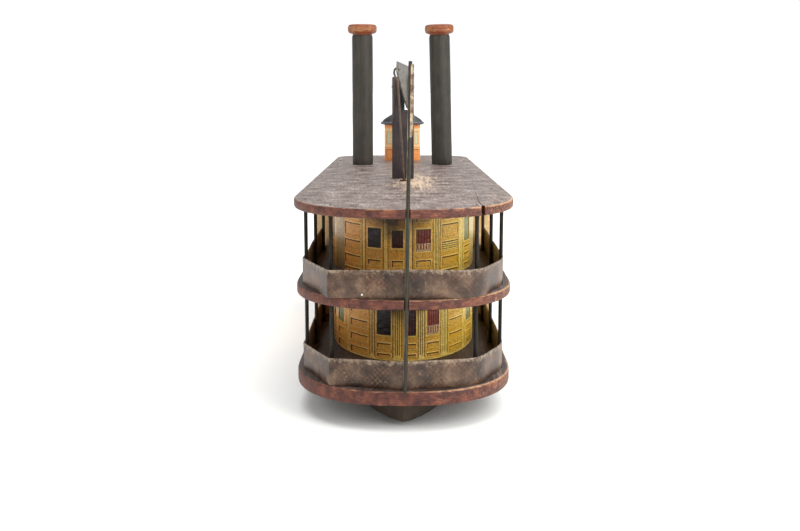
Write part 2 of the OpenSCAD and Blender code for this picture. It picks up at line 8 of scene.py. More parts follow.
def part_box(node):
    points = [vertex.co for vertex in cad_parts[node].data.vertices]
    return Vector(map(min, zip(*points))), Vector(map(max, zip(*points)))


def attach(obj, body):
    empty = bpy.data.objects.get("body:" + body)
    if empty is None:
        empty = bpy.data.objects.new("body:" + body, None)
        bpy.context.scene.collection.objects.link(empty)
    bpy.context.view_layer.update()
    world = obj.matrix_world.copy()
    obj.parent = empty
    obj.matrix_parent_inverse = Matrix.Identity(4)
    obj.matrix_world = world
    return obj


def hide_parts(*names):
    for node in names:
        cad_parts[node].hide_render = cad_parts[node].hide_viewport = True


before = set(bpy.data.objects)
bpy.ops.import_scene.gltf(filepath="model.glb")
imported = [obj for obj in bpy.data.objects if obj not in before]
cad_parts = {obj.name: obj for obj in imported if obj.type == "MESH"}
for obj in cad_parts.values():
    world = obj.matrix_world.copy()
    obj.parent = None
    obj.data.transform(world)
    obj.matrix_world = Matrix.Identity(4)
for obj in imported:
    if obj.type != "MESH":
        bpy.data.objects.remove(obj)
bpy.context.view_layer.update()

# ---- Studio ------------------------------------------------------------------------------
# The toy stands on a white paper sweep between broad soft boxes, the stronger one on the
# starboard quarter, and is seen from astern a little above its upper deck.
MM = 0.001


def linear(colour):
    """A colour written as #rrggbb, in linear light."""
    parts = [int(colour[i:i + 2], 16) / 255 for i in (1, 3, 5)]
    return [c / 12.92 if c <= 0.04045 else ((c + 0.055) / 1.055) ** 2.4 for c in parts] + [1]


def add(tree, kind, inputs=None, stops=None, **settings):
    """One node with its settings; an input is a socket to link, a colour or a plain value."""
    made = tree.nodes.new("ShaderNode" + kind)
    for key, value in settings.items():
        setattr(made, key, value)
    if stops:
        ramp = made.color_ramp.elements
        while len(ramp) < len(stops):
            ramp.new(1)
        for element, (place, colour) in zip(ramp, stops):
            element.position = place
            element.color = linear(colour)
    for key, value in (inputs or {}).items():
        if isinstance(value, bpy.types.NodeSocket):
            tree.links.new(value, made.inputs[key])
        elif isinstance(value, str):
            made.inputs[key].default_value = linear(value)
        else:
            made.inputs[key].default_value = value
    return made


def start_material(name):
    """An empty node material and its tree."""
    material = bpy.data.materials.new(name)
    material.use_nodes = True
    material.node_tree.nodes.clear()
    return material, material.node_tree


def link(obj):
    bpy.context.scene.collection.objects.link(obj)
    return obj


camera = link(bpy.data.objects.new("camera", bpy.data.cameras.new("camera")))
camera.location = (-0.0024, -0.957, 0.2125)
camera.rotation_euler = (math.radians(90 - 9.13), 0, 0)
camera.data.lens = 50
camera.data.sensor_width = 36
bpy.context.scene.camera = camera
bpy.context.scene.view_settings.view_transform = "Standard"

# White walls: full white where they are looked at, dimmer as light on the toy
world = bpy.data.worlds.new("white_room")
world.use_nodes = True
tree = world.node_tree
tree.nodes.clear()
seen = add(tree, "LightPath")
glow = add(tree, "MapRange", {"Value": seen.outputs["Is Camera Ray"], "To Min": 0.5,
                              "To Max": 1.05})
wall = add(tree, "Background", {"Color": "#fbfcff", "Strength": glow.outputs["Result"]})
add(tree, "OutputWorld", {"Surface": wall.outputs["Background"]})
bpy.context.scene.world = world


def soft_box(name, place, aim, size, power):
    """A square soft box that looks from place to aim."""
    light = bpy.data.lights.new(name, "AREA")
    light.size = size
    light.energy = power
    obj = link(bpy.data.objects.new(name, light))
    obj.location = place
    obj.rotation_euler = (Vector(aim) - Vector(place)).to_track_quat("-Z", "Y").to_euler()


soft_box("soft_box_starboard", (1.15, -0.95, 0.85), (0, -0.2, 0.08), 1.3, 26)
soft_box("soft_box_port", (-1.2, -0.9, 0.8), (0, -0.2, 0.08), 1.2, 7)
ceiling = bpy.data.lights.new("ceiling_light", "SUN")
ceiling.energy = 3.1
ceiling.angle = math.radians(70)
hung = link(bpy.data.objects.new("ceiling_light", ceiling))
hung.rotation_euler = (math.radians(-16), math.radians(8), 0)

# Satin white paper: it keeps only a faint grey where the hull stands close over it
sweep_paper, tree = start_material("satin_white_paper")
where = add(tree, "TexCoord")
fibre = add(tree, "TexNoise", {"Vector": where.outputs["Object"], "Scale": 900.0, "Detail": 3.0})
tone = add(tree, "ValToRGB", {"Fac": fibre.outputs["Fac"]}, [(0.2, "#f4f5f1"), (0.8, "#fbfbf8")])
skin = add(tree, "BsdfPrincipled", {"Base Color": tone.outputs["Color"], "Roughness": 0.6})
add(tree, "OutputMaterial", {"Surface": skin.outputs["BSDF"]})
sweep_size = 40.0
floor_mesh = bpy.data.meshes.new("sweep")
floor_mesh.from_pydata([(x * sweep_size, y * sweep_size, 0) for x, y in
                        ((-1, -1), (1, -1), (1, 1), (-1, 1))], [], [(0, 1, 2, 3)])
floor_mesh.materials.append(sweep_paper)
link(bpy.data.objects.new("sweep", floor_mesh))

# ---- Hull and lower deck -----------------------------------------------------------------
# Two pine boards nailed flat together, sawn to a round stern and a pointed bow and painted
# dark red-brown; the hull board is set in under the deck and has wells for the wheels.
hull_low, hull_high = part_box("hull")
lower_low, lower_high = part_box("lower_deck")
bow_len = 160 * MM
stern_round = 80 * MM
fore_half = 68.5 * MM
deck_power = 2.3
arc_steps = 36


def end_arc(half, apex, length, power):
    """Rounded stern end, from port to starboard: above a power of 2 it is squarer."""
    points = []
    for i in range(arc_steps + 1):
        a = math.pi * i / arc_steps
        c, s = -math.cos(a), math.sin(a)
        x = half * math.copysign(abs(c) ** (2 / power), c)
        points.append((x, apex + length - length * abs(s) ** (2 / power)))
    return points


def bow_arc(half, apex):
    """Pointed bow, from starboard to port."""
    side = []
    for i in range(arc_steps):
        u = i / arc_steps
        side.append((half * (1 - u * u) ** 0.8, apex - bow_len + bow_len * u))
    return side + [(0, apex)] + [(-x, y) for x, y in reversed(side)]


def inset(outline, depth):
    """The outline moved inwards along the mitred normals of its corners."""
    moved = []
    for i, here in enumerate(outline):
        before, after = outline[i - 1], outline[(i + 1) % len(outline)]
        a = (Vector(here) - Vector(before)).normalized()
        b = (Vector(after) - Vector(here)).normalized()
        mitre = Vector((-a.y - b.y, a.x + b.x))
        mitre *= 2 / mitre.length_squared
        moved.append(Vector(here) + mitre * depth)
    return moved


def mesh_object(name, points, faces, matrix=None):
    mesh = bpy.data.meshes.new(name)
    mesh.from_pydata([tuple(p) for p in points], [], faces)
    if matrix:
        mesh.transform(matrix)
    return link(bpy.data.objects.new(name, mesh))


def skin_rings(rings):
    """Faces that join equal rings of points, counted ring after ring, and close both ends."""
    n = len(rings[0])
    faces = []
    for r in range(len(rings) - 1):
        for i in range(n):
            j = (i + 1) % n
            faces.append((r * n + i, r * n + j, (r + 1) * n + j, (r + 1) * n + i))
    faces.append(tuple(reversed(range(n))))
    faces.append(tuple((len(rings) - 1) * n + i for i in range(n)))
    return faces


def board(name, outline, low, high, arris, matrix=None):
    """A board sawn to outline, its arrises rubbed round by sandpaper."""
    levels = []
    for i in range(4):
        a = math.pi / 2 * i / 3
        levels.append((arris * (1 - math.sin(a)), low + arris * (1 - math.cos(a))))
    levels += [(depth, low + high - z) for depth, z in reversed(levels)]
    rings = [[(x, y, z) for x, y in inset(outline, depth)] for depth, z in levels]
    return mesh_object(name, [p for ring in rings for p in ring], skin_rings(rings), matrix)


def block(low, high, turn=0.0):
    """A cutter: a plain box from low to high, turned about its own middle in plan."""
    (x0, y0, z0), (x1, y1, z1) = low, high
    middle = Vector(((x0 + x1) / 2, (y0 + y1) / 2, 0))
    corners = [Vector((x, y, z)) - middle for z in (z0, z1)
               for x, y in ((x0, y0), (x1, y0), (x1, y1), (x0, y1))]
    matrix = Matrix.Translation(middle) @ Matrix.Rotation(turn, 4, "Z")
    return mesh_object("cutter", corners, skin_rings([corners[:4], corners[4:]]), matrix)


def cut(obj, cutters):
    """Saws the cutters out of obj and throws them away."""
    for cutter in cutters:
        saw = obj.modifiers.new("saw", "BOOLEAN")
        saw.object = cutter
        saw.solver = "EXACT"
    graph = bpy.context.evaluated_depsgraph_get()
    sawn = bpy.data.meshes.new_from_object(obj.evaluated_get(graph))
    obj.modifiers.clear()
    obj.data = sawn
    for cutter in cutters:
        bpy.data.objects.remove(cutter)


def fit(obj, body, nodes, materials, crisp=35):
    """Gives a piece its finishes, keeps edges over crisp degrees sharp, and fixes it."""
    for material in materials:
        obj.data.materials.append(material)
    obj.data.polygons.foreach_set("use_smooth", [True] * len(obj.data.polygons))
    obj.data.set_sharp_from_angle(angle=math.radians(crisp))
    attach(obj, body)
    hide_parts(*nodes)


def rub(obj, share):
    """Marks how worn each point is, from 0 to 1, for the worn finishes to read."""
    worn = obj.data.attributes.new("rub", "FLOAT", "POINT")
    worn.data.foreach_set("value", [share(v.co) for v in obj.data.vertices])


def worn_paint(name, tones, bare, grain_mm, patch_mm, along, roughness, relief_mm, wear=0.5,
               bare_patch=None, specular=0.35):
    """Old paint over wood: tones mottle it in patches, the grain shows through along one
    axis, and bare shows in rubbed spots, wherever a point is marked as worn and in the
    middle of bare_patch, a place and its reach."""
    material, tree = start_material(name)
    where = add(tree, "TexCoord")
    stretch = [1.0 if axis != along else 0.07 for axis in "XYZ"]
    lengthwise = add(tree, "Mapping", {"Vector": where.outputs["Object"], "Scale": stretch})
    grain = add(tree, "TexNoise", {"Vector": lengthwise.outputs["Vector"],
                                   "Scale": 1 / (grain_mm * MM), "Detail": 6.0,
                                   "Roughness": 0.65})
    patch = add(tree, "TexNoise", {"Vector": where.outputs["Object"],
                                   "Scale": 1 / (patch_mm * MM), "Detail": 5.0,
                                   "Roughness": 0.6})
    mottle = add(tree, "Math", {0: grain.outputs["Fac"], 1: 0.45}, operation="MULTIPLY")
    mottle = add(tree, "Math", {0: patch.outputs["Fac"], 1: 0.55, 2: mottle.outputs[0]},
                 operation="MULTIPLY_ADD")
    paint = add(tree, "ValToRGB", {"Fac": mottle.outputs[0]}, tones)
    worn = add(tree, "Attribute", attribute_name="rub")
    speck = add(tree, "TexNoise", {"Vector": lengthwise.outputs["Vector"],
                                   "Scale": 1 / (2.5 * grain_mm * MM), "Detail": 8.0,
                                   "Roughness": 0.75})
    spots = add(tree, "Math", {0: worn.outputs["Fac"], 1: wear, 2: speck.outputs["Fac"]},
                operation="MULTIPLY_ADD")
    if bare_patch:
        off = add(tree, "VectorMath", {0: where.outputs["Object"], 1: bare_patch[0]},
                  operation="SUBTRACT")
        off = add(tree, "VectorMath", {0: off.outputs["Vector"], 1: bare_patch[1]},
                  operation="DIVIDE")
        off = add(tree, "VectorMath", {0: off.outputs["Vector"]}, operation="LENGTH")
        inside = add(tree, "MapRange", {"Value": off.outputs["Value"], "From Min": 0.3,
                                        "From Max": 1.2, "To Min": 0.3, "To Max": 0.0})
        spots = add(tree, "Math", {0: spots.outputs[0], 1: inside.outputs["Result"]},
                    operation="ADD")
    through = add(tree, "MapRange", {"Value": spots.outputs[0], "From Min": 0.68,
                                     "From Max": 0.86})
    colour = add(tree, "MixRGB", {"Fac": through.outputs["Result"],
                                  "Color1": paint.outputs["Color"], "Color2": bare})
    gloss = add(tree, "MapRange", {"Value": patch.outputs["Fac"], "From Min": 0.3,
                                   "From Max": 0.7, "To Min": roughness[0],
                                   "To Max": roughness[1]})
    ridge = add(tree, "Bump", {"Height": grain.outputs["Fac"], "Strength": 0.8,
                               "Distance": relief_mm * MM})
    skin = add(tree, "BsdfPrincipled", {"Base Color": colour.outputs["Color"],
                                        "Roughness": gloss.outputs["Result"],
                                        "Specular IOR Level": specular,
                                        "Normal": ridge.outputs["Normal"]})
    add(tree, "OutputMaterial", {"Surface": skin.outputs["BSDF"]})
    return material


def deck_finish(obj, top_arris):
    """Flat faces take the first finish and sawn edges the second; the top arris is rubbed, and the
    starboard quarter aft is paled, partly worn tan and partly painted light from starboard.
    """
    high = max(v.co.z for v in obj.data.vertices)

    def wear_and_lit_side(p):
        # Paler towards the starboard quarter aft: partly worn tan, partly a painted highlight for the
        # stronger light from starboard
        lit_and_worn_starboard_aft = min(1.0, max(0.0, p.x / (60 * MM))) if p.y < -180 * MM else 0.0
        on_arris = high - top_arris * 0.6 < p.z < high - top_arris * 0.02
        return 0.34 * lit_and_worn_starboard_aft + (0.36 if on_arris else 0.0)

    rub(obj, wear_and_lit_side)
    for face in obj.data.polygons:
        face.material_index = 0 if abs(face.normal.z) > 0.9 else 1


# Hull bottom: oil-darkened milk paint, nearly black-brown, dull
hull_paint = worn_paint("milk_paint_on_hull", [(0.35, "#2a2016"), (0.6, "#4a3a26")], "#6c5a3e",
                        0.9, 22, "Y", (0.6, 0.8), 0.15)
# Sawn edges: red-brown paint that sank into the end grain and scuffs to tan
edge_paint = worn_paint("red_brown_paint_on_end_grain",
                        [(0.37, "#2c1410"), (0.48, "#522a21"), (0.56, "#6a3c2c"),
                         (0.66, "#8c5a42")], "#a67c58", 0.9, 7, "X", (0.5, 0.7), 0.3)
# Decks under cover: a brown wash made darker all over as painted shade from the deck above
shade_darkened_wash = worn_paint("shade_darkened_brown_wash_on_pine",
                            [(0.36, "#1f1612"), (0.48, "#3a2b25"), (0.6, "#584840")], "#8d7a6b",
                            0.8, 12, "Y", (0.4, 0.6), 0.14)

lower_half = lower_high.x
lower_outline = (end_arc(lower_half, lower_low.y, stern_round, deck_power)
                 + bow_arc(fore_half, lower_high.y))
hull_half = hull_high.x
hull_stern_len, hull_power = 180 * MM, 1.5
hull_outline = (end_arc(hull_half, hull_low.y, hull_stern_len, hull_power)
                + bow_arc(hull_half, hull_high.y))
wheel_gap = 1 * MM


def wells(nodes, roof):
    """Cutters for the wells over a pair of wheels."""
    made = []
    for node in nodes:
        low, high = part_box(node)
        made.append(block((low.x - wheel_gap, low.y - wheel_gap, -0.01),
                          (high.x + wheel_gap, high.y + wheel_gap, roof)))
    return made


main_wheels = ("main_wheel_port", "main_wheel_starboard")
front_wheels = ("front_wheel_port", "front_wheel_starboard")
crank_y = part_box("crank_axle")[0].lerp(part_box("crank_axle")[1], 0.5).y
crank_well = ((1.5 * MM, crank_y - 12.5 * MM), (14.5 * MM, crank_y + 12.5 * MM))


def crank_cutter():
    (x0, y0), (x1, y1) = crank_well
    return block((x0, y0, -0.01), (x1, y1, lower_high.z + 0.01))


hull = board("hull_board", hull_outline, hull_low.z, hull_high.z, 2.5 * MM)
cut(hull, wells(main_wheels, 0.1) + wells(front_wheels, 0.1) + [crank_cutter()])
fit(hull, "boat", ["hull"], [hull_paint])

lower_deck = board("lower_deck_board", lower_outline, lower_low.z, lower_high.z, 1.6 * MM)
front_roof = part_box("front_wheel_port")[1].z + 2 * MM
cut(lower_deck, wells(main_wheels, 0.1) + wells(front_wheels, front_roof) + [crank_cutter()])
deck_finish(lower_deck, 1.6 * MM)
fit(lower_deck, "boat", ["lower_deck"], [shade_darkened_wash, edge_paint])

# ---- Wheels and axles --------------------------------------------------------------------
# Turned hardwood wheels pressed on bright wire axles that run in grooves between the boards;
# the main axle is bent into a crank that works the walking beam's rod.


def lathe(name, profile, matrix, sides=48, hand=0.0):
    """Turns a profile of (radius, height) points; hand is how far a turner's hand wandered."""
    rings = []
    for radius, height in profile:
        ring = []
        for i in range(sides):
            a = 2 * math.pi * i / sides
            place = Vector((math.cos(a), math.sin(a), height * 30))
            r = radius + hand * noise.noise(place * 1.7) * min(1, radius / (3 * MM))
            ring.append((r * math.cos(a), r * math.sin(a), height))
        rings.append(ring)
    return mesh_object(name, [p for ring in rings for p in ring], skin_rings(rings), matrix)


def bead(radius, low, high, swell, steps=8):
    """Profile points of a turned bead between two heights."""
    points = []
    for i in range(steps + 1):
        a = math.pi * i / steps
        points.append((radius + swell * math.sin(a), low + (high - low) * (1 - math.cos(a)) / 2))
    return points


def sweep(name, path, radius, sides=14):
    """A wire bent along path, its ends nipped off square."""
    path = [Vector(p) for p in path]
    across = (path[1] - path[0]).orthogonal().normalized()
    rings = []
    for i, here in enumerate(path):
        along = (path[min(i + 1, len(path) - 1)] - path[max(i - 1, 0)]).normalized()
        across = (across - along * across.dot(along)).normalized()
        up = along.cross(across)
        r = radius(i / (len(path) - 1)) if callable(radius) else radius
        rings.append([here + (across * math.cos(a) + up * math.sin(a)) * r
                      for a in (2 * math.pi * k / sides for k in range(sides))])
    return mesh_object(name, [p for ring in rings for p in ring], skin_rings(rings))


def bend(corners, reach, steps=6):
    """The path through corners with each inner corner bent to a curve that starts reach away."""
    corners = [Vector(c) for c in corners]
    path = [corners[0]]
    for before, corner, after in zip(corners, corners[1:], corners[2:]):
        start = corner + (before - corner).normalized() * reach
        end = corner + (after - corner).normalized() * reach
        for i in range(steps + 1):
            t = i / steps
            path.append(start.lerp(corner, t).lerp(corner.lerp(end, t), t))
    return path + [corners[-1]]


# Stained hardwood, turned and dull with handling
wheel_stain = worn_paint("stained_hardwood", [(0.3, "#4a2a19"), (0.55, "#774628"),
                                              (0.75, "#94603a")], "#b48a5c",
                         0.7, 9, "X", (0.45, 0.65), 0.1)
# Drawn iron wire: grey metal browned by a thin even rust
iron_wire, tree = start_material("rusted_iron_wire")
where = add(tree, "TexCoord")
rust = add(tree, "TexNoise", {"Vector": where.outputs["Object"], "Scale": 700.0, "Detail": 6.0})
tone = add(tree, "ValToRGB", {"Fac": rust.outputs["Fac"]},
           [(0.35, "#6f6a62"), (0.55, "#5b4a3c"), (0.7, "#6b3f26")])
dull = add(tree, "MapRange", {"Value": rust.outputs["Fac"], "To Min": 0.3, "To Max": 0.7})
pits = add(tree, "Bump", {"Height": rust.outputs["Fac"], "Strength": 0.5, "Distance": 0.05 * MM})
skin = add(tree, "BsdfPrincipled", {"Base Color": tone.outputs["Color"], "Metallic": 0.8,
                                    "Roughness": dull.outputs["Result"],
                                    "Normal": pits.outputs["Normal"]})
add(tree, "OutputMaterial", {"Surface": skin.outputs["BSDF"]})

along_x = Matrix.Rotation(math.radians(90), 4, "Y")
axle_r = 1.5 * MM
for body, nodes in (("crank_wheels", main_wheels), ("front_wheels", front_wheels)):
    for node in nodes:
        low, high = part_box(node)
        middle = low.lerp(high, 0.5)
        r, half = (high.z - low.z) / 2, (high.x - low.x) / 2
        tread = bead(r - 0.7 * MM, -half + 0.6 * MM, half - 0.6 * MM, 0.7 * MM)
        face = [(axle_r, -half * 0.7), (0.28 * r, -half), (0.36 * r, -half), (0.4 * r, -half * 0.6),
                (0.72 * r, -half * 0.6), (0.78 * r, -half), (r - 0.9 * MM, -half)]
        profile = face + tread + [(radius, -h) for radius, h in reversed(face)]
        wheel = lathe(node + "_turned", profile,
                      Matrix.Translation(middle) @ along_x, 56, 0.08 * MM)
        rub(wheel, lambda p: 0.6 if (p - middle).yz.length > r - 1 * MM else 0.1)
        fit(wheel, body, [node], [wheel_stain])

low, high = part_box("crank_axle")
axle_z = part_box("main_wheel_port")[0].lerp(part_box("main_wheel_port")[1], 0.5).z
crank_z = high.z - axle_r
crank_x = (4 * MM, 12 * MM)
corners = [(low.x, crank_y, axle_z), (crank_x[0], crank_y, axle_z),
           (crank_x[0], crank_y, crank_z), (crank_x[1], crank_y, crank_z),
           (crank_x[1], crank_y, axle_z), (high.x, crank_y, axle_z)]
fit(sweep("crank_axle_wire", bend(corners, 1.6 * MM), axle_r), "crank_wheels",
    ["crank_axle"], [iron_wire])
low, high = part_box("front_axle")
y, z = (low.y + high.y) / 2, (low.z + high.z) / 2
fit(sweep("front_axle_wire", [(low.x, y, z), (0, y, z), (high.x, y, z)], axle_r),
    "front_wheels", ["front_axle"], [iron_wire])

# ---- Middle and upper decks --------------------------------------------------------------
# Thin sawn boards nailed down over the house. The middle one is notched for the paddle boxes,
# and the upper one has split at the starboard quarter and lost a chip of its edge.
middle_low, middle_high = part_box("middle_deck")
upper_low, upper_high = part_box("upper_deck")
fore_round = 36 * MM
upper_round = 92 * MM
fore_power = 2.8
paddle_low, paddle_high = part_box("paddle_box_starboard")
notch_gap = 0.3 * MM
slot_port, slot_starboard = -3.6 * MM, 2.8 * MM
slot_aft, slot_fore = -12 * MM, 5 * MM
rod_low, rod_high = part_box("connecting_rod")
staff_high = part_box("flagstaff")[1]


def fore_arc(apex):
    """Rounded forward end of a covered deck, from starboard to port."""
    return [(-x, 2 * apex - y) for x, y in
            end_arc(fore_half, apex, fore_round, fore_power)]


def rod_place(z):
    """Where the rod passes height z, from its hook down to the crank."""
    share = (rod_high.z - 7.4 * MM - z) / (rod_high.z - 7.4 * MM - rod_low.z)
    return Vector((-4.06 * MM, rod_low.y, 0)).lerp(Vector((8 * MM, rod_high.y, 0)), share)


def slot_cutters(low, high):
    """Cutters for the rod's slot and the notch for the flagstaff in a deck."""
    place = rod_place((low.z + high.z) / 2)
    staff_x = 0.8 * MM + (low.z - lower_high.z) * math.tan(math.radians(0.85))
    return [block((place.x + slot_port, place.y + slot_aft, low.z - 0.01),
                  (place.x + slot_starboard, place.y + slot_fore, high.z + 0.01)),
            block((staff_x - 1.55 * MM, low.y - 0.01, low.z - 0.01),
                  (staff_x + 1.55 * MM, low.y + 3 * MM, high.z + 0.01))]


def nick(place, size, turn=0.0):
    """A cutter for a bruise or chip in an edge: a small faceted lens."""
    rings = []
    for h, r in ((-1, 0.05), (-0.6, 0.8), (0, 1), (0.6, 0.75), (1, 0.05)):
        rings.append([Vector((math.cos(a) * r * size[0] * (1 + 0.3 * math.sin(3 * a)),
                              math.sin(a) * r * size[1], h * size[2]))
                      for a in (2 * math.pi * k / 12 for k in range(12))])
    matrix = Matrix.Translation(place) @ Matrix.Rotation(turn, 4, "Z")
    return mesh_object("cutter", [p for ring in rings for p in ring], skin_rings(rings), matrix)


middle_outline = (end_arc(middle_high.x, middle_low.y, stern_round, deck_power)
                  + fore_arc(middle_high.y))
middle_deck = board("middle_deck_board", middle_outline, middle_low.z, middle_high.z, 1.3 * MM)
notches = [block((side_low, paddle_low.y - notch_gap, 0), (side_high, paddle_high.y + notch_gap, 0.2))
           for side_low, side_high in ((paddle_low.x - notch_gap, 0.1),
                                       (-0.1, -paddle_low.x + notch_gap))]
middle_bruise = nick((-13.3 * MM, middle_low.y - 0.3 * MM, middle_low.z), (1.5 * MM, 1.2 * MM, 0.9 * MM))
cut(middle_deck, notches + slot_cutters(middle_low, middle_high) + [middle_bruise])
deck_finish(middle_deck, 1.3 * MM)
fit(middle_deck, "boat", ["middle_deck"], [shade_darkened_wash, edge_paint])

upper_outline = (end_arc(upper_high.x, upper_low.y, upper_round, deck_power)
                 + fore_arc(upper_high.y))
upper_deck = board("upper_deck_board", upper_outline, upper_low.z, upper_high.z, 1.3 * MM)
# The split runs with the grain, then turns out to the edge at the chip
split = [Vector((52, -147)) * MM, Vector((49.6, -205)) * MM, Vector((48.4, -253)) * MM,
         Vector((49.2, -276)) * MM]
split_width = (0.08 * MM, 0.16 * MM, 0.35 * MM)
split_cutters = []
for start, end, width in zip(split, split[1:], split_width):
    run = end - start
    middle = start.lerp(end, 0.5)
    half_run = run.length / 2 + 0.2 * MM
    turn = math.atan2(run.y, run.x) + math.pi / 2
    split_cutters.append(block((middle.x - width, middle.y - half_run, upper_high.z - 2.2 * MM),
                               (middle.x + width, middle.y + half_run, upper_high.z + 0.01), turn))
chip = mesh_object("cutter", [(x * MM, y * MM, z) for z in (upper_low.z - 0.01, upper_high.z + 0.01)
                              for x, y in ((49.2, -266), (46.4, -279), (53.2, -279))],
                   skin_rings([[0] * 3] * 2))
upper_bruise = nick((-5.2 * MM, upper_low.y - 0.3 * MM, upper_low.z), (1.9 * MM, 1.5 * MM, 1.1 * MM))
pegs = []
for node in ("smokestack_port", "smokestack_starboard"):
    side = math.copysign(37.7 * MM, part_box(node)[0].x)
    pegs.append(lathe("cutter", [(4.05 * MM, upper_low.z - 0.01), (4.05 * MM, upper_high.z + 0.01)],
                      Matrix.Translation((side, 106 * MM, 0))))
cut(upper_deck, slot_cutters(upper_low, upper_high) + split_cutters + [chip, upper_bruise] + pegs)
deck_finish(upper_deck, 1.3 * MM)
# Thin mauve-brown wash faded to grey, with a low waxy shine at a low angle, and rubbed
# through to the pine round the foot of the gallows
faded_wash = worn_paint("faded_mauve_wash_on_pine",
                        [(0.36, "#3a2d29"), (0.46, "#64544d"), (0.55, "#7d7069"),
                         (0.64, "#9c938d")], "#c3a98f", 0.8, 14, "Y", (0.33, 0.55), 0.14,
                        bare_patch=((9 * MM, -85 * MM, 145 * MM), (26 * MM, 130 * MM, 50 * MM)))
fit(upper_deck, "boat", ["upper_deck"], [faded_wash, edge_paint])

# ---- House carcass -----------------------------------------------------------------------
# Rounded pine blocks fore and aft with thin boards between them, left bare under the paper,
# and the paddle boxes, sawn solid and papered on their outer faces.

# Bare pine: pale tan, lengthwise grain, dusty and dull
bare_pine = worn_paint("bare_pine", [(0.3, "#8a6f4c"), (0.55, "#a98b62"), (0.75, "#c2a67c")],
                       "#cdb48c", 0.8, 30, "Z", (0.6, 0.8), 0.1)
for level in ("lower", "upper"):
    for part in ("stern_block", "bow_block", "port_side", "starboard_side"):
        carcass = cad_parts[level + "_house_" + part]
        carcass.data.materials.clear()
        carcass.data.materials.append(bare_pine)

# Paddle boxes: cream-washed pine, its aft faces seen between the posts
cream_pine = worn_paint("cream_washed_pine", [(0.3, "#9b7a4e"), (0.5, "#bf9f70"),
                                              (0.7, "#d6bd90")], "#e2cfa6",
                        1.1, 24, "Z", (0.5, 0.7), 0.15)
paddle_middle = (paddle_low + paddle_high) / 2
paddle_r = (paddle_high.y - paddle_low.y) / 2
spring_z = paddle_high.z - paddle_r


def paddle_outline(steps=40):
    """Side view of a paddle box: straight flanks under a half-round top."""
    arch = [(paddle_r * math.cos(math.pi * i / steps), spring_z + paddle_r *
             math.sin(math.pi * i / steps)) for i in range(steps + 1)]
    return [(-paddle_r, paddle_low.z), (paddle_r, paddle_low.z)] + arch


side_view = Matrix(((0, 0, 1, 0), (1, 0, 0, paddle_middle.y), (0, 1, 0, 0), (0, 0, 0, 1)))
for side, name in ((-1, "port"), (1, "starboard")):
    low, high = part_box("paddle_box_" + name)
    box = board("paddle_box_sawn_" + name, paddle_outline(), low.x, high.x, 1.2 * MM, side_view)
    rub(box, lambda p: 0.3)
    fit(box, "boat", ["paddle_box_" + name], [cream_pine])

# ---- House papers ------------------------------------------------------------------------
# Lithographed and embossed paper pasted round each storey: ochre panelling with pilasters,
# curtained windows and green-grey panes, browned by time and varnish, browner to port partly as
# stain and partly as painted light for the brighter starboard side, with painted shade under each deck.
house_half = 52.3 * MM
house_stern_len = 90.3 * MM
house_fore_len = 70.3 * MM
OCHRE, LIGHT, LINE, DARK, MAROON, RED, LACE, GREEN, CREAM = range(9)
EDGE = 0.22
RAISED, SUNK = 0.16, -0.16


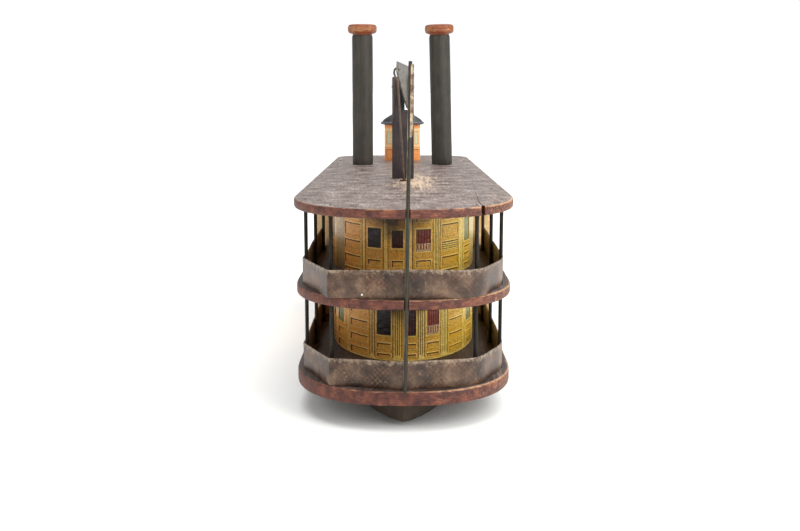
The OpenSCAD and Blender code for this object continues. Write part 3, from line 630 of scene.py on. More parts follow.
def litho(name, port, starboard, spread, crumple=1.0, shine=0.36, painted_shade_share=0.93):
    """Varnished printers' ink on paper: browner to port and clearer to starboard, partly stain and
    partly painted light for the stronger light from starboard, with a coarse screen of dots, worn
    to pale paper in scuffs, and painted shade under the deck above, mottled with stain."""
    material, tree = start_material(name)
    where = add(tree, "TexCoord")
    parts = add(tree, "SeparateXYZ", {"Vector": where.outputs["Object"]})
    stain = add(tree, "TexNoise", {"Vector": where.outputs["Object"], "Scale": 1 / (16 * MM),
                                   "Detail": 6.0, "Roughness": 0.6})
    # Port to starboard tone: partly stain, partly painted light for the brighter starboard side
    across = add(tree, "MapRange", {"Value": parts.outputs["X"], "From Min": -0.05,
                                    "From Max": 0.045})
    stain_and_side_light = add(tree, "Math", {0: stain.outputs["Fac"], 1: 0.7, 2: across.outputs["Result"]},
              operation="MULTIPLY_ADD")
    stain_and_side_light = add(tree, "MapRange", {"Value": stain_and_side_light.outputs[0], "From Min": 0.2, "From Max": 1.3})
    colour = add(tree, "MixRGB", {"Fac": stain_and_side_light.outputs["Result"], "Color1": port,
                                  "Color2": starboard})
    dots = add(tree, "TexNoise", {"Vector": where.outputs["Object"], "Scale": 1 / (0.9 * MM),
                                  "Detail": 4.0, "Roughness": 0.7})
    depth = add(tree, "MapRange", {"Value": dots.outputs["Fac"], "From Min": 0.36,
                                   "From Max": 0.64, "To Min": 1 - spread, "To Max": 1 + spread})
    printed = add(tree, "MixRGB", {"Fac": 1.0, "Color1": colour.outputs["Color"],
                                   "Color2": depth.outputs["Result"]}, blend_type="MULTIPLY")
    tear = add(tree, "TexNoise", {"Vector": where.outputs["Object"], "Scale": 1 / (7 * MM),
                                  "Detail": 9.0, "Roughness": 0.75, "Distortion": 1.2})
    scuff = add(tree, "MapRange", {"Value": tear.outputs["Fac"], "From Min": 0.69,
                                   "From Max": 0.76})
    worn = add(tree, "MixRGB", {"Fac": scuff.outputs["Result"], "Color1": printed.outputs["Color"],
                                "Color2": "#cdb083"})
    # Painted shade, partly soot stain: the middle of the stern just under each deck is darkened, mottled
    # by the stain noise
    off = add(tree, "Math", {0: parts.outputs["X"], 1: 5 * MM}, operation="ADD")
    off = add(tree, "Math", {0: off.outputs[0], 1: 34 * MM}, operation="DIVIDE")
    off = add(tree, "Math", {0: off.outputs[0], 1: 2.0}, operation="POWER")
    height = add(tree, "Math", {0: parts.outputs["Z"], 1: lower_high.z}, operation="SUBTRACT")
    height = add(tree, "Math", {0: height.outputs[0], 1: middle_high.z - lower_high.z},
                 operation="MODULO")
    height = add(tree, "MapRange", {"Value": height.outputs[0], "From Min": 0.02,
                                    "From Max": 0.05, "To Min": -0.3, "To Max": 0.8})
    under_deck_shade = add(tree, "Math", {0: stain.outputs["Fac"], 1: 0.9, 2: height.outputs["Result"]},
               operation="MULTIPLY_ADD")
    under_deck_shade = add(tree, "Math", {0: under_deck_shade.outputs[0], 1: off.outputs[0]}, operation="SUBTRACT")
    under_deck_shade = add(tree, "MapRange", {"Value": under_deck_shade.outputs[0], "From Min": 0.3, "From Max": 0.78,
                                  "To Min": 0.0, "To Max": painted_shade_share})
    shaded_paper = add(tree, "MixRGB", {"Fac": under_deck_shade.outputs["Result"], "Color1": worn.outputs["Color"],
                                 "Color2": "#1a0e08"})
    creases = add(tree, "TexNoise", {"Vector": where.outputs["Object"], "Scale": 1 / (5 * MM),
                                     "Detail": 4.0, "Distortion": 2.0})
    ridge = add(tree, "Bump", {"Height": creases.outputs["Fac"], "Strength": 1.0,
                               "Distance": 1.1 * crumple * MM})
    skin = add(tree, "BsdfPrincipled", {"Base Color": shaded_paper.outputs["Color"],
                                        "Roughness": shine, "Specular IOR Level": 0.4,
                                        "Normal": ridge.outputs["Normal"]})
    add(tree, "OutputMaterial", {"Surface": skin.outputs["BSDF"]})
    return material


inks = [litho("litho_ochre_varnished", "#d98a42", "#dcab38", 0.4),
        litho("litho_highlight_yellow", "#f0b264", "#f6d86c", 0.3),
        litho("litho_sepia_line", "#502a0e", "#6b420f", 0.35),
        litho("litho_dark_window", "#1a100b", "#24140e", 0.35),
        litho("litho_maroon_curtain", "#4d1d12", "#5d2216", 0.4),
        litho("litho_red_curtain", "#7a2c14", "#8c341e", 0.5),
        litho("litho_lace", "#bd8c5e", "#d4ae84", 0.5),
        litho("litho_green_grey_glass", "#6b6734", "#7f7b3e", 0.3),
        litho("litho_cream_margin", "#8e6c46", "#d8bd78", 0.3)]


def panel(s0, s1, h0, h1, field=OCHRE):
    """Sunk panel: lit moulding, a drawn shadow at its top and port side, and its field."""
    return [(s0, s1, h0, h1, RAISED, LIGHT),
            (s0 + 0.6, s1 - 0.6, h0 + 0.6, h1 - 0.6, SUNK, LINE),
            (s0 + 1.5, s1 - 0.8, h0 + 0.8, h1 - 1.6, SUNK, field)]


def panels(s0, s1, rows):
    return [part for h0, h1 in rows for part in panel(s0, s1, h0, h1)]


def louvres(s0, s1, h0, h1):
    """Panel of slats."""
    parts = panel(s0, s1, h0, h1, LIGHT)
    h = h0 + 1.6
    while h < h1 - 1.8:
        parts.append((s0 + 1.7, s1 - 1.0, h, h + 0.6, SUNK, LINE))
        h += 1.4
    return parts


def window(s0, s1, h0, h1, glass, border=LIGHT):
    """Window: a raised border, a drawn line inside it, and the glass sunk behind it."""
    parts = [(s0, s1, h0, h1, RAISED, border),
             (s0 + 0.9, s1 - 0.9, h0 + 0.9, h1 - 0.9, SUNK, LINE),
             (s0 + 1.4, s1 - 1.1, h0 + 1.1, h1 - 1.5, SUNK, glass)]
    return parts


def curtains(s0, s1, h0, h1, folds, cloth, lace_up):
    """Curtain folds across a window, with a lace hem that rises lace_up from the sill."""
    parts = window(s0, s1, h0, h1, cloth, LIGHT)
    inner0, inner1 = s0 + 1.4, s1 - 1.1
    step = (inner1 - inner0) / folds
    for i in range(folds):
        fold = inner0 + step * (i + 0.55)
        parts.append((fold, fold + step * 0.42, h0 + 1.1, h1 - 1.5, -0.02, MAROON if
                      cloth == RED else DARK))
    if lace_up:
        parts.append((inner0, inner1, h0 + 1.1, h0 + 1.1 + lace_up, -0.04, LACE))
        for i in range(folds):
            hole = inner0 + step * (i + 0.2)
            parts.append((hole, hole + step * 0.4, h0 + 2.0, h0 + 0.6 + lace_up, SUNK, RED))
    return parts


def pilaster(s0, s1, top, lines=0):
    """Raised pilaster with a foot and a capital; lines are its flutes."""
    parts = [(s0 - 0.5, s1 + 0.5, 0, top, 0, LINE),
             (s0, s1, 0, top, RAISED, LIGHT)]
    step = (s1 - s0) / (lines + 1)
    for i in range(lines):
        flute = s0 + step * (i + 1)
        parts.append((flute - 0.3, flute + 0.3, 4, top - 4, SUNK, LINE))
    parts += [(s0 - 0.7, s1 + 0.7, 0, 2.4, RAISED + 0.06, LIGHT),
              (s0 - 0.7, s1 + 0.7, top - 2.6, top - 0.6, RAISED + 0.06, LIGHT)]
    return parts


UPPER_ROWS = ((1, 4.6), (6.3, 13.8), (16.8, 24.3), (26, 36.3), (38.5, 46))
LOWER_ROWS = ((0.8, 6.8), (10, 16), (19.8, 26.3), (29.5, 35.5), (38.5, 47))
UNDER_WINDOW = ((1.8, 5.4), (8, 12.8))


def side_bays(start, end, top, rows):
    """The print repeats along the sides: a window bay, then a panelled bay."""
    pitch = 46
    count = round((end - start) / pitch)
    pitch = (end - start) / count
    parts = []
    for i in range(count):
        s = start + pitch * i
        parts += pilaster(s + 1, s + 4, top)
        parts += window(s + 6, s + 17, 19, 38, GREEN if i % 2 else DARK)
        parts += panels(s + 6, s + 17, UNDER_WINDOW)
        parts += pilaster(s + 19, s + 23.5, top, 2)
        parts += panels(s + 26, s + pitch - 1, rows)
    return parts


def mirrored(parts):
    return [(-s1, -s0, h0, h1, depth, ink) for s0, s1, h0, h1, depth, ink in parts]


def upper_print(top, total):
    """Upper storey, by distance round from the stern: minus is to port."""
    parts = [(-78, -58, 0, top, 0, CREAM), (-58.6, -58, 0, top, 0, LINE)]
    parts += panels(-57, -34, UPPER_ROWS) + pilaster(-32.3, -29.8, top)
    parts += window(-28, -15, 19.6, 35, DARK) + panels(-27.5, -15.5, UNDER_WINDOW)
    parts += panel(-28, -15, 38.5, 46) + pilaster(-13.8, -11, top)
    parts += curtains(-9, 0.6, 20, 34, 4, MAROON, 0) + panel(-8.6, 0.2, 7.3, 12.9)
    parts += panel(-8.6, 0.2, 1.5, 5.2) + pilaster(2.5, 5.8, top)
    parts += curtains(7.6, 20.6, 17.6, 34.5, 5, RED, 5) + panel(8, 20.2, 7.3, 12.9)
    parts += panel(8, 20.2, 1.5, 5.2) + panel(7.6, 20.6, 38, 46) + pilaster(22, 27.5, top, 3)
    column = [row for row in UPPER_ROWS if row != UPPER_ROWS[2]]
    parts += panels(29.3, 50, column) + louvres(29.3, 50, *UPPER_ROWS[2])
    parts += pilaster(51.8, 57.8, top, 1)
    parts += window(60, 75, 20, 38.5, GREEN) + panels(60.5, 74.5, UNDER_WINDOW)
    parts += panel(60.5, 74.5, 14.2, 17.8) + [(78, 105, 0, top, 0, CREAM)]
    parts += side_bays(106, total, top, UPPER_ROWS)
    return parts + mirrored(side_bays(80, total, top, UPPER_ROWS))


def lower_print(top, total):
    """Lower storey, by distance round from the stern: minus is to port."""
    parts = window(-73.5, -58.5, 18.5, 38, GREEN) + panels(-73, -59, LOWER_ROWS[:2])
    parts += pilaster(-54, -50, top, 1) + panels(-48, -27, LOWER_ROWS)
    parts += pilaster(-25.4, -22, top, 2)
    parts += window(-20.4, -7.8, 17, 38, DARK) + panels(-19.8, -8.4, UNDER_WINDOW)
    parts += pilaster(-7, -1.5, top, 3)
    parts += curtains(1.2, 9.6, 17, 38, 3, MAROON, 0) + panels(1.6, 9.2, UNDER_WINDOW)
    parts += pilaster(10.6, 14.6, top, 2)
    parts += curtains(16, 28.2, 16.8, 38, 5, RED, 6) + panels(16.4, 27.8, UNDER_WINDOW)
    parts += pilaster(29.6, 36, top, 3) + panels(38, 57.6, LOWER_ROWS)
    parts += pilaster(59.4, 63.4, top, 1) + window(66, 82, 18.5, 38, GREEN)
    parts += panels(66.5, 81.5, LOWER_ROWS[:2])
    parts += side_bays(86, total, top, LOWER_ROWS)
    return parts + mirrored(side_bays(76, total, top, LOWER_ROWS))


def house_line(apex, fore):
    """Half of the storey's outline from the stern to the bow, with its running length."""
    aft_y, fore_y = apex + house_stern_len, fore - house_fore_len
    points = [Vector((house_half * math.sin(a), aft_y - house_stern_len * math.cos(a)))
              for a in (math.pi / 2 * i / 90 for i in range(91))]
    points += [Vector((house_half * math.cos(a), fore_y + house_fore_len * math.sin(a)))
               for a in (math.pi / 2 * i / 90 for i in range(91))]
    lengths = [0.0]
    for a, b in zip(points, points[1:]):
        lengths.append(lengths[-1] + (b - a).length)
    return points, lengths


def round_house(line, s):
    """The place and outward direction at distance s round the house from its stern."""
    points, lengths = line
    i = min(max(bisect_left(lengths, abs(s)), 1), len(points) - 1)
    run = points[i] - points[i - 1]
    share = (abs(s) - lengths[i - 1]) / (lengths[i] - lengths[i - 1])
    place, out = points[i - 1] + run * share, Vector((run.y, -run.x)).normalized()
    return (place, out) if s >= 0 else (Vector((-place.x, place.y)), Vector((-out.x, out.y)))


def grid_lines(values, low, high, widest):
    """Sorted cutting lines between low and high, never further apart than widest."""
    kept = [low]
    for value in sorted(v for v in values if low < v < high) + [high]:
        if value - kept[-1] < 0.02:
            continue
        pieces = math.ceil((value - kept[-1]) / widest)
        start = kept[-1]
        kept += [start + (value - start) * (i + 1) / pieces for i in range(pieces)]
    return kept


def paint_grid(parts, s_lines, h_lines, base):
    """Paints parts over one another: a depth for each point and an ink for each square."""
    depth = [[0.0] * len(h_lines) for _ in s_lines]
    ink = [[base] * (len(h_lines) - 1) for _ in s_lines[1:]]
    for s0, s1, h0, h1, deep, colour in parts:
        for i in range(bisect_left(s_lines, s0 - 0.015), bisect_left(s_lines, s1 - 0.015)):
            for j in range(bisect_left(h_lines, h0 - 0.015), bisect_left(h_lines, h1 - 0.015)):
                if i < len(ink) and j < len(h_lines) - 1:
                    ink[i][j] = colour
        for i in range(bisect_left(s_lines, s0 + EDGE - 0.015),
                       bisect_left(s_lines, s1 - EDGE + 0.015)):
            for j in range(bisect_left(h_lines, h0 + EDGE - 0.015),
                           bisect_left(h_lines, h1 - EDGE + 0.015)):
                depth[i][j] = deep
    return depth, ink


def lines_of(parts, first, second):
    found = []
    for part in parts:
        a, b = part[first], part[second]
        found += [a, a + EDGE, b - EDGE, b] if b - a > 3 * EDGE else [a, b]
    return found


def relief(name, parts, s_range, h_range, place, base=OCHRE, joined=False):
    """A pasted paper with its embossing: place turns (s, h, depth) in millimetres to a point."""
    s_lines = grid_lines(lines_of(parts, 0, 1), *s_range, 4.0)
    h_lines = grid_lines(lines_of(parts, 2, 3), *h_range, 8.0)
    depth, ink = paint_grid(parts, s_lines, h_lines, base)
    rows = len(h_lines)
    points = [place(s, h, depth[i][j]) for i, s in enumerate(s_lines)
              for j, h in enumerate(h_lines)]
    columns = len(s_lines) - (1 if joined else 0)
    faces, colours = [], []
    for i in range(len(s_lines) - 1):
        k = (i + 1) % columns
        for j in range(rows - 1):
            faces.append((i * rows + j, k * rows + j, k * rows + j + 1, i * rows + j + 1))
            colours.append(ink[i][j])
    paper = mesh_object(name, points[:columns * rows], faces)
    paper.data.polygons.foreach_set("material_index", colours)
    return paper


for level, artist in (("lower", lower_print), ("upper", upper_print)):
    low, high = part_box(level + "_house_paper")
    line = house_line(low.y, high.y)
    total = line[1][-1] / MM
    tall = (high.z - low.z) / MM

    def place(s, h, deep):
        spot, out = round_house(line, s * MM)
        cockle = 0.2 * noise.noise(Vector((spot.x, spot.y, h * MM)) * 150)
        spot = spot + out * (deep + cockle + 0.16) * MM
        return (spot.x, spot.y, low.z + h * MM)

    parts = [(-total, total, 0, 0.9, RAISED, LIGHT),
             (-total, total, tall - 2, tall, RAISED, LINE)] + artist(tall, total)
    paper = relief(level + "_house_print", parts, (-total, total), (0, tall), place, joined=True)
    fit(paper, "boat", [level + "_house_paper"], inks, 50)

# ---- Paddle box papers -------------------------------------------------------------------
# A printed and embossed paper on each outer face: a fan of slats over a half disc under an
# arched border, with plain panels on the flanks.
FAN_SLATS = 18


def fan_parts():
    """The fan, in degrees round the arch and millimetres of radius from its centre."""
    parts = [(0, 180, 58.5, 63.2, RAISED, LIGHT), (0, 180, 57.4, 58.5, SUNK, LINE),
             (0, 180, 51.5, 57.4, 0, CREAM), (0, 180, 50.4, 51.5, SUNK, LINE),
             (0, 180, 14.6, 16.5, RAISED, LIGHT), (0, 180, 13.4, 14.6, SUNK, LINE),
             (0, 180, 4.0, 13.4, RAISED, RED)]
    step = 180 / FAN_SLATS
    for i in range(FAN_SLATS):
        a = step * i
        parts.append((a + 0.8, a + step - 0.8, 18, 49.5, RAISED, OCHRE if i % 2 else LIGHT))
        parts.append((a + step / 2 - 0.7, a + step / 2 + 0.7, 24, 47, SUNK, LINE))
    return parts


def flank_parts(width, tall):
    parts = [(0, width, 0, 1.6, RAISED, LIGHT), (0, width, tall - 2.4, tall - 0.8, RAISED, LIGHT)]
    count = 5
    pitch = (width - 4) / count
    for i in range(count):
        s = 2 + pitch * i
        parts += panel(s + 1, s + pitch - 1, 3.5, tall - 4.5, GREEN if i == count // 2 else OCHRE)
    return parts


for side, name in ((-1, "port"), (1, "starboard")):
    low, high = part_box("paddle_paper_" + name)
    face_x = (high.x if side > 0 else low.x)
    flank = (spring_z - low.z) / MM

    def arch_place(a, r, deep):
        a = math.radians(a)
        return (face_x + side * deep * MM, paddle_middle.y - side * r * MM * math.cos(a),
                spring_z + r * MM * math.sin(a))

    def flank_place(s, h, deep):
        return (face_x + side * deep * MM, paddle_middle.y + side * (s * MM - paddle_r),
                low.z + h * MM)

    fan = relief("paddle_fan_" + name, fan_parts(), (0, 180), (0.3, 63.2), arch_place, LINE)
    fan.data.flip_normals()
    fit(fan, "boat", [], inks, 50)
    width = 2 * paddle_r / MM
    flanks = relief("paddle_flank_" + name, flank_parts(width, flank), (0, width), (0, flank),
                    flank_place)
    fit(flanks, "boat", ["paddle_paper_" + name], inks, 50)

# ---- Card rails --------------------------------------------------------------------------
# Strips of thin card stood on the deck edges, creased over the rounded ends and printed with a
# fine gold lattice that has mostly gone brown. They have warped, and their top edges waver.
rail_half = 0.5 * MM
rail_x_aft, rail_x_fore = 66.5 * MM, 63 * MM
rail_y_aft, rail_y_fore = -230 * MM, 213 * MM


def rail_at(y):
    """Distance of the side rails from the centre line: they draw in towards the bow."""
    return rail_x_aft + (rail_x_fore - rail_x_aft) * (y - rail_y_aft) / (rail_y_fore - rail_y_aft)


aft_end, fore_end = paddle_low.y - 0.3 * MM, paddle_high.y + 0.3 * MM
stern_y, stem_y = lower_low.y, lower_high.y


def both_sides(half, tip):
    """A path from starboard, through its tip on the centre line, to port."""
    return half + [tip] + [(-x, y) for x, y in reversed(half)]


def stern_path(crease_y):
    half = [(rail_at(aft_end), aft_end), (rail_x_aft, rail_y_aft), (46.9 * MM, crease_y)]
    return both_sides(half, (0, stern_y + 3.8 * MM))


cabin_y = middle_high.y
bow_path = both_sides([(rail_at(fore_end), fore_end), (rail_at(158.8 * MM), 158.8 * MM),
                       (52.3 * MM, 210 * MM), (31.5 * MM, 248.4 * MM)], (0, stem_y - 14 * MM))
cabin_path = both_sides([(rail_at(fore_end), fore_end), (rail_x_fore, rail_y_fore),
                         (44.1 * MM, cabin_y - 10 * MM)], (0, cabin_y - 4.5 * MM))


def crease_path(corners, soft_reach):
    """The path with crisp creases to port and softer ones to starboard, in short steps."""
    corners = [Vector(c) for c in corners]
    path = [corners[0]]
    for before, corner, after in zip(corners, corners[1:], corners[2:]):
        reach = soft_reach if corner.x > 0 else 1.2 * MM
        start = corner + (before - corner).normalized() * reach
        end = corner + (after - corner).normalized() * reach
        path += [start.lerp(corner, t).lerp(corner.lerp(end, t), t)
                 for t in (i / 8 for i in range(9))]
    path.append(corners[-1])
    stepped = [path[0]]
    for a, b in zip(path, path[1:]):
        count = max(1, math.ceil((b - a).length / (4 * MM)))
        stepped += [a.lerp(b, (i + 1) / count) for i in range(count)]
    return stepped


def card_strip(name, corners, foot, tall, soft_reach, seed):
    """The strip, with how far along and how high each point is kept for the print."""
    path = crease_path(corners, soft_reach)
    heights = (0, 0.02, 0.25, 0.5, 0.75, 0.97, 1)
    rings, flat = [], []
    run = 0.0
    for i, here in enumerate(path):
        before, after = path[max(i - 1, 0)], path[min(i + 1, len(path) - 1)]
        run += (here - before).length
        along = (after - before).normalized()
        out = Vector((along.y, -along.x))
        wave = noise.noise(Vector((run * 28, seed, 0)))
        top = tall + 0.45 * MM * wave - 1.0 * MM * min(1, abs(here.x) / (46.9 * MM))
        warp = 0.8 * MM * noise.noise(Vector((run * 18, seed, 7)))
        ring = []
        for sign, order in ((1, heights), (-1, tuple(reversed(heights)))):
            for share in order:
                thin = rail_half * (0.55 if share in (0, 1) else 1)
                spot = here + out * (sign * thin + warp * share * share)
                ring.append(Vector((spot.x, spot.y, foot + top * share)))
                flat.append((run, top * share, 0))
        rings.append(ring)
    card = mesh_object(name, [p for ring in rings for p in ring], skin_rings(rings))
    spread_out = card.data.attributes.new("flat", "FLOAT_VECTOR", "POINT")
    spread_out.data.foreach_set("vector", [c for f in flat for c in f])
    rub(card, lambda p: 1.0 if p.z > foot + tall - 2.2 * MM and p.z > foot + 0.9 * tall else 0.0)
    return card


# Varnished printed card: dark grey-brown, a gold lattice of 3 mm showing in patches, brown
# scuffs, and a soft satin shine
LATTICE_MM, LINE_MM = 2.4, 0.5
rail_card, tree = start_material("varnished_lattice_card")
where = add(tree, "TexCoord")
flat = add(tree, "Attribute", attribute_name="flat")
threads = []
for way in (1.0, -1.0):
    slant = add(tree, "VectorMath", {0: flat.outputs["Vector"], 1: (1.0, way, 0.0)},
                operation="DOT_PRODUCT")
    far = add(tree, "Math", {0: slant.outputs["Value"], 1: LATTICE_MM / 1.414 * MM},
              operation="PINGPONG")
    threads.append(add(tree, "MapRange", {"Value": far.outputs[0], "From Min": 0.0,
                                          "From Max": LINE_MM * MM, "To Min": 1.0,
                                          "To Max": 0.0}))
lattice = add(tree, "Math", {0: threads[0].outputs["Result"], 1: threads[1].outputs["Result"]},
              operation="MAXIMUM")
fade = add(tree, "TexNoise", {"Vector": where.outputs["Object"], "Scale": 1 / (17 * MM),
                              "Detail": 4.0, "Roughness": 0.65})
shown = add(tree, "MapRange", {"Value": fade.outputs["Fac"], "From Min": 0.44, "From Max": 0.7})
shown = add(tree, "Math", {0: shown.outputs["Result"], 1: lattice.outputs[0]},
            operation="MULTIPLY")
cloud = add(tree, "TexNoise", {"Vector": where.outputs["Object"], "Scale": 1 / (20 * MM),
                               "Detail": 8.0, "Roughness": 0.7})
ground = add(tree, "ValToRGB", {"Fac": cloud.outputs["Fac"]},
             [(0.34, "#1b130f"), (0.45, "#36271f"), (0.54, "#4f3b2e"), (0.66, "#745e4c")])
scuffs = add(tree, "TexNoise", {"Vector": where.outputs["Object"], "Scale": 1 / (3 * MM),
                                "Detail": 9.0, "Roughness": 0.8})
broken = add(tree, "MapRange", {"Value": scuffs.outputs["Fac"], "From Min": 0.38,
                                "From Max": 0.62, "To Min": 0.0, "To Max": 0.7})
shown = add(tree, "Math", {0: shown.outputs[0], 1: broken.outputs["Result"]},
            operation="MULTIPLY")
gilt = add(tree, "MixRGB", {"Fac": shown.outputs[0], "Color1": ground.outputs["Color"],
                            "Color2": "#b5763a"})
edge = add(tree, "Attribute", attribute_name="rub")
bare = add(tree, "Math", {0: edge.outputs["Fac"], 1: 0.16, 2: scuffs.outputs["Fac"]},
           operation="MULTIPLY_ADD")
bare = add(tree, "MapRange", {"Value": bare.outputs[0], "From Min": 0.58, "From Max": 0.74})
card_colour = add(tree, "MixRGB", {"Fac": bare.outputs["Result"],
                                   "Color1": gilt.outputs["Color"], "Color2": "#94826f"})
satin = add(tree, "MapRange", {"Value": cloud.outputs["Fac"], "From Min": 0.3, "From Max": 0.7,
                               "To Min": 0.32, "To Max": 0.5})
buckle = add(tree, "Bump", {"Height": scuffs.outputs["Fac"], "Strength": 0.8,
                            "Distance": 0.35 * MM})
skin = add(tree, "BsdfPrincipled", {"Base Color": card_colour.outputs["Color"],
                                    "Roughness": satin.outputs["Result"],
                                    "Specular IOR Level": 0.35,
                                    "Normal": buckle.outputs["Normal"]})
add(tree, "OutputMaterial", {"Surface": skin.outputs["BSDF"]})

rail_h = 18.4 * MM
for name, corners, deck_z, soft_reach, seed in (
        ("lower_stern_rail", stern_path(stern_y + 16 * MM), lower_high.z, 13 * MM, 1.0),
        ("middle_stern_rail", stern_path(stern_y + 8 * MM), middle_high.z, 16 * MM, 2.0),
        ("lower_bow_rail", bow_path, lower_high.z, 6 * MM, 3.0),
        ("middle_bow_rail", cabin_path, middle_high.z, 6 * MM, 4.0)):
    card = card_strip(name + "_card", corners, deck_z, rail_h, soft_reach, seed)
    fit(card, "boat", [name], [rail_card], 40)

# ---- Posts and nails ---------------------------------------------------------------------
# Iron wire posts painted green-black stand just inside the rails and carry the decks; a nail
# goes down through the upper deck into each line of posts, and tacks hold the rails.
post_paint = worn_paint("brown_black_paint_on_wire", [(0.36, "#12110e"), (0.52, "#1f1c17"),
                                                      (0.66, "#3a3127")], "#75664f",
                        0.6, 6, "Z", (0.5, 0.7), 0.1, specular=0.18)
post_r = 1.25 * MM
side_posts = [(rail_at(y) - 2 * MM, y) for y in
              (stern_y + d * MM for d in (61, 135, 210))]
side_posts += [(rail_at(y) - 2 * MM, y) for y in (paddle_high.y + d * MM for d in (26, 76))]
stern_post = (45.9 * MM, stern_y + 26 * MM)
fore_post = (27 * MM, cabin_y - 14 * MM)
corner_post = (rail_at(rail_y_fore - 1 * MM) - 2 * MM, rail_y_fore - 1 * MM)
post_places = side_posts + [stern_post, fore_post]


def pooled(t):
    """Radius of a post at share t of its height: the paint has gathered at both ends."""
    return post_r * (1 + 0.3 * math.exp(-40 * min(t, 1 - t)))


def post_run(name, places, foot, top):
    """Posts in one storey, each slightly bowed, with paint pooled at its foot and head."""
    runs = []
    for x, y in [(side * x, y) for x, y in places for side in (-1, 1)]:
        bow = 0.25 * MM * noise.noise(Vector((x, y, foot)) * 90)
        path = [(x + bow * math.sin(math.pi * t), y, foot + (top - foot) * t)
                for t in (i / 16 for i in range(17))]
        runs.append(sweep(name, path, pooled, 16))
    return join(runs)


def join(objects):
    """Several separate solids made one object."""
    points, faces = [], []
    for obj in objects:
        base = len(points)
        points += [v.co.copy() for v in obj.data.vertices]
        faces += [[base + i for i in face.vertices] for face in obj.data.polygons]
        name = obj.name
        bpy.data.objects.remove(obj)
    return mesh_object(name.split(".")[0], points, faces)


lower_posts = post_run("lower_wire_posts", post_places, lower_high.z, middle_low.z)
rub(lower_posts, lambda p: 0.12)
fit(lower_posts, "boat", ["lower_posts"], [post_paint])
middle_posts = post_run("middle_wire_posts", post_places + [corner_post], middle_high.z,
                        upper_low.z)
rub(middle_posts, lambda p: 0.12)
fit(middle_posts, "boat", ["middle_posts"], [post_paint])

# Iron nail heads: domed, brown-black; the tacks were tinned and keep a pale head
nail_iron = worn_paint("browned_iron_nail", [(0.3, "#2a221e"), (0.6, "#4a3930")], "#7d6a58",
                       0.4, 2, "Z", (0.4, 0.6), 0.05)
tin_tack = worn_paint("tinned_tack", [(0.3, "#b5ad9c"), (0.6, "#d8d2c3")], "#e6e1d4",
                      0.4, 2, "Z", (0.3, 0.5), 0.03)


def dome(name, place, out, radius, tall):
    """A domed head that stands out from place."""
    matrix = Matrix.Translation(place) @ Vector(out).to_track_quat("Z", "Y").to_matrix().to_4x4()
    profile = [(radius * 0.98, 0)] + [(radius * math.cos(a), tall * (0.25 + 0.75 * math.sin(a)))
                                      for a in (math.pi / 2 * i / 6 for i in range(6))]
    return lathe(name, profile + [(radius * 0.1, tall)], matrix, 20)


head_r = 0.9 * MM
nails = join([dome("deck_nail_heads", (side * x, y, upper_high.z), (0, 0, 1), head_r, 0.45 * MM)
              for x, y in post_places + [corner_post] for side in (-1, 1)])
rub(nails, lambda p: 0.3)
fit(nails, "boat", ["deck_nails"], [nail_iron])
tack_heads = []
for deck_z in (lower_high.z, middle_high.z):
    for side in (-1, 1):
        for y in (stern_y + 96 * MM, stern_y + 170 * MM):
            x = side * (rail_at(y) + rail_half)
            tack_heads.append(dome("rail_tack_heads", (x, y, deck_z + 5 * MM), (side, 0, 0),
                                   head_r, 0.55 * MM))
tack_heads.append(dome("rail_tack_heads", (-25.8 * MM, -285.2 * MM, middle_high.z + 2.6 * MM),
                       (-0.1, -1, 0), 0.7 * MM, 0.5 * MM))
tacks = join(tack_heads)
rub(tacks, lambda p: 0.2)
fit(tacks, "boat", ["rail_tacks"], [tin_tack])

# ---- Smokestacks -------------------------------------------------------------------------
# Lengths of dowel painted green-black and set on pegs through the upper deck; each has a
# turned cap, one fat bead, painted red-orange. The starboard stack leans inboard.

# Smoke-dark green paint with a brown-mauve bloom where it was handled
stack_paint = worn_paint("green_black_paint_on_dowel",
                         [(0.32, "#211f19"), (0.48, "#302c25"), (0.6, "#3c352e"),
                          (0.72, "#4b423a")], "#64584c", 1.2, 15, "Z", (0.45, 0.65), 0.12)
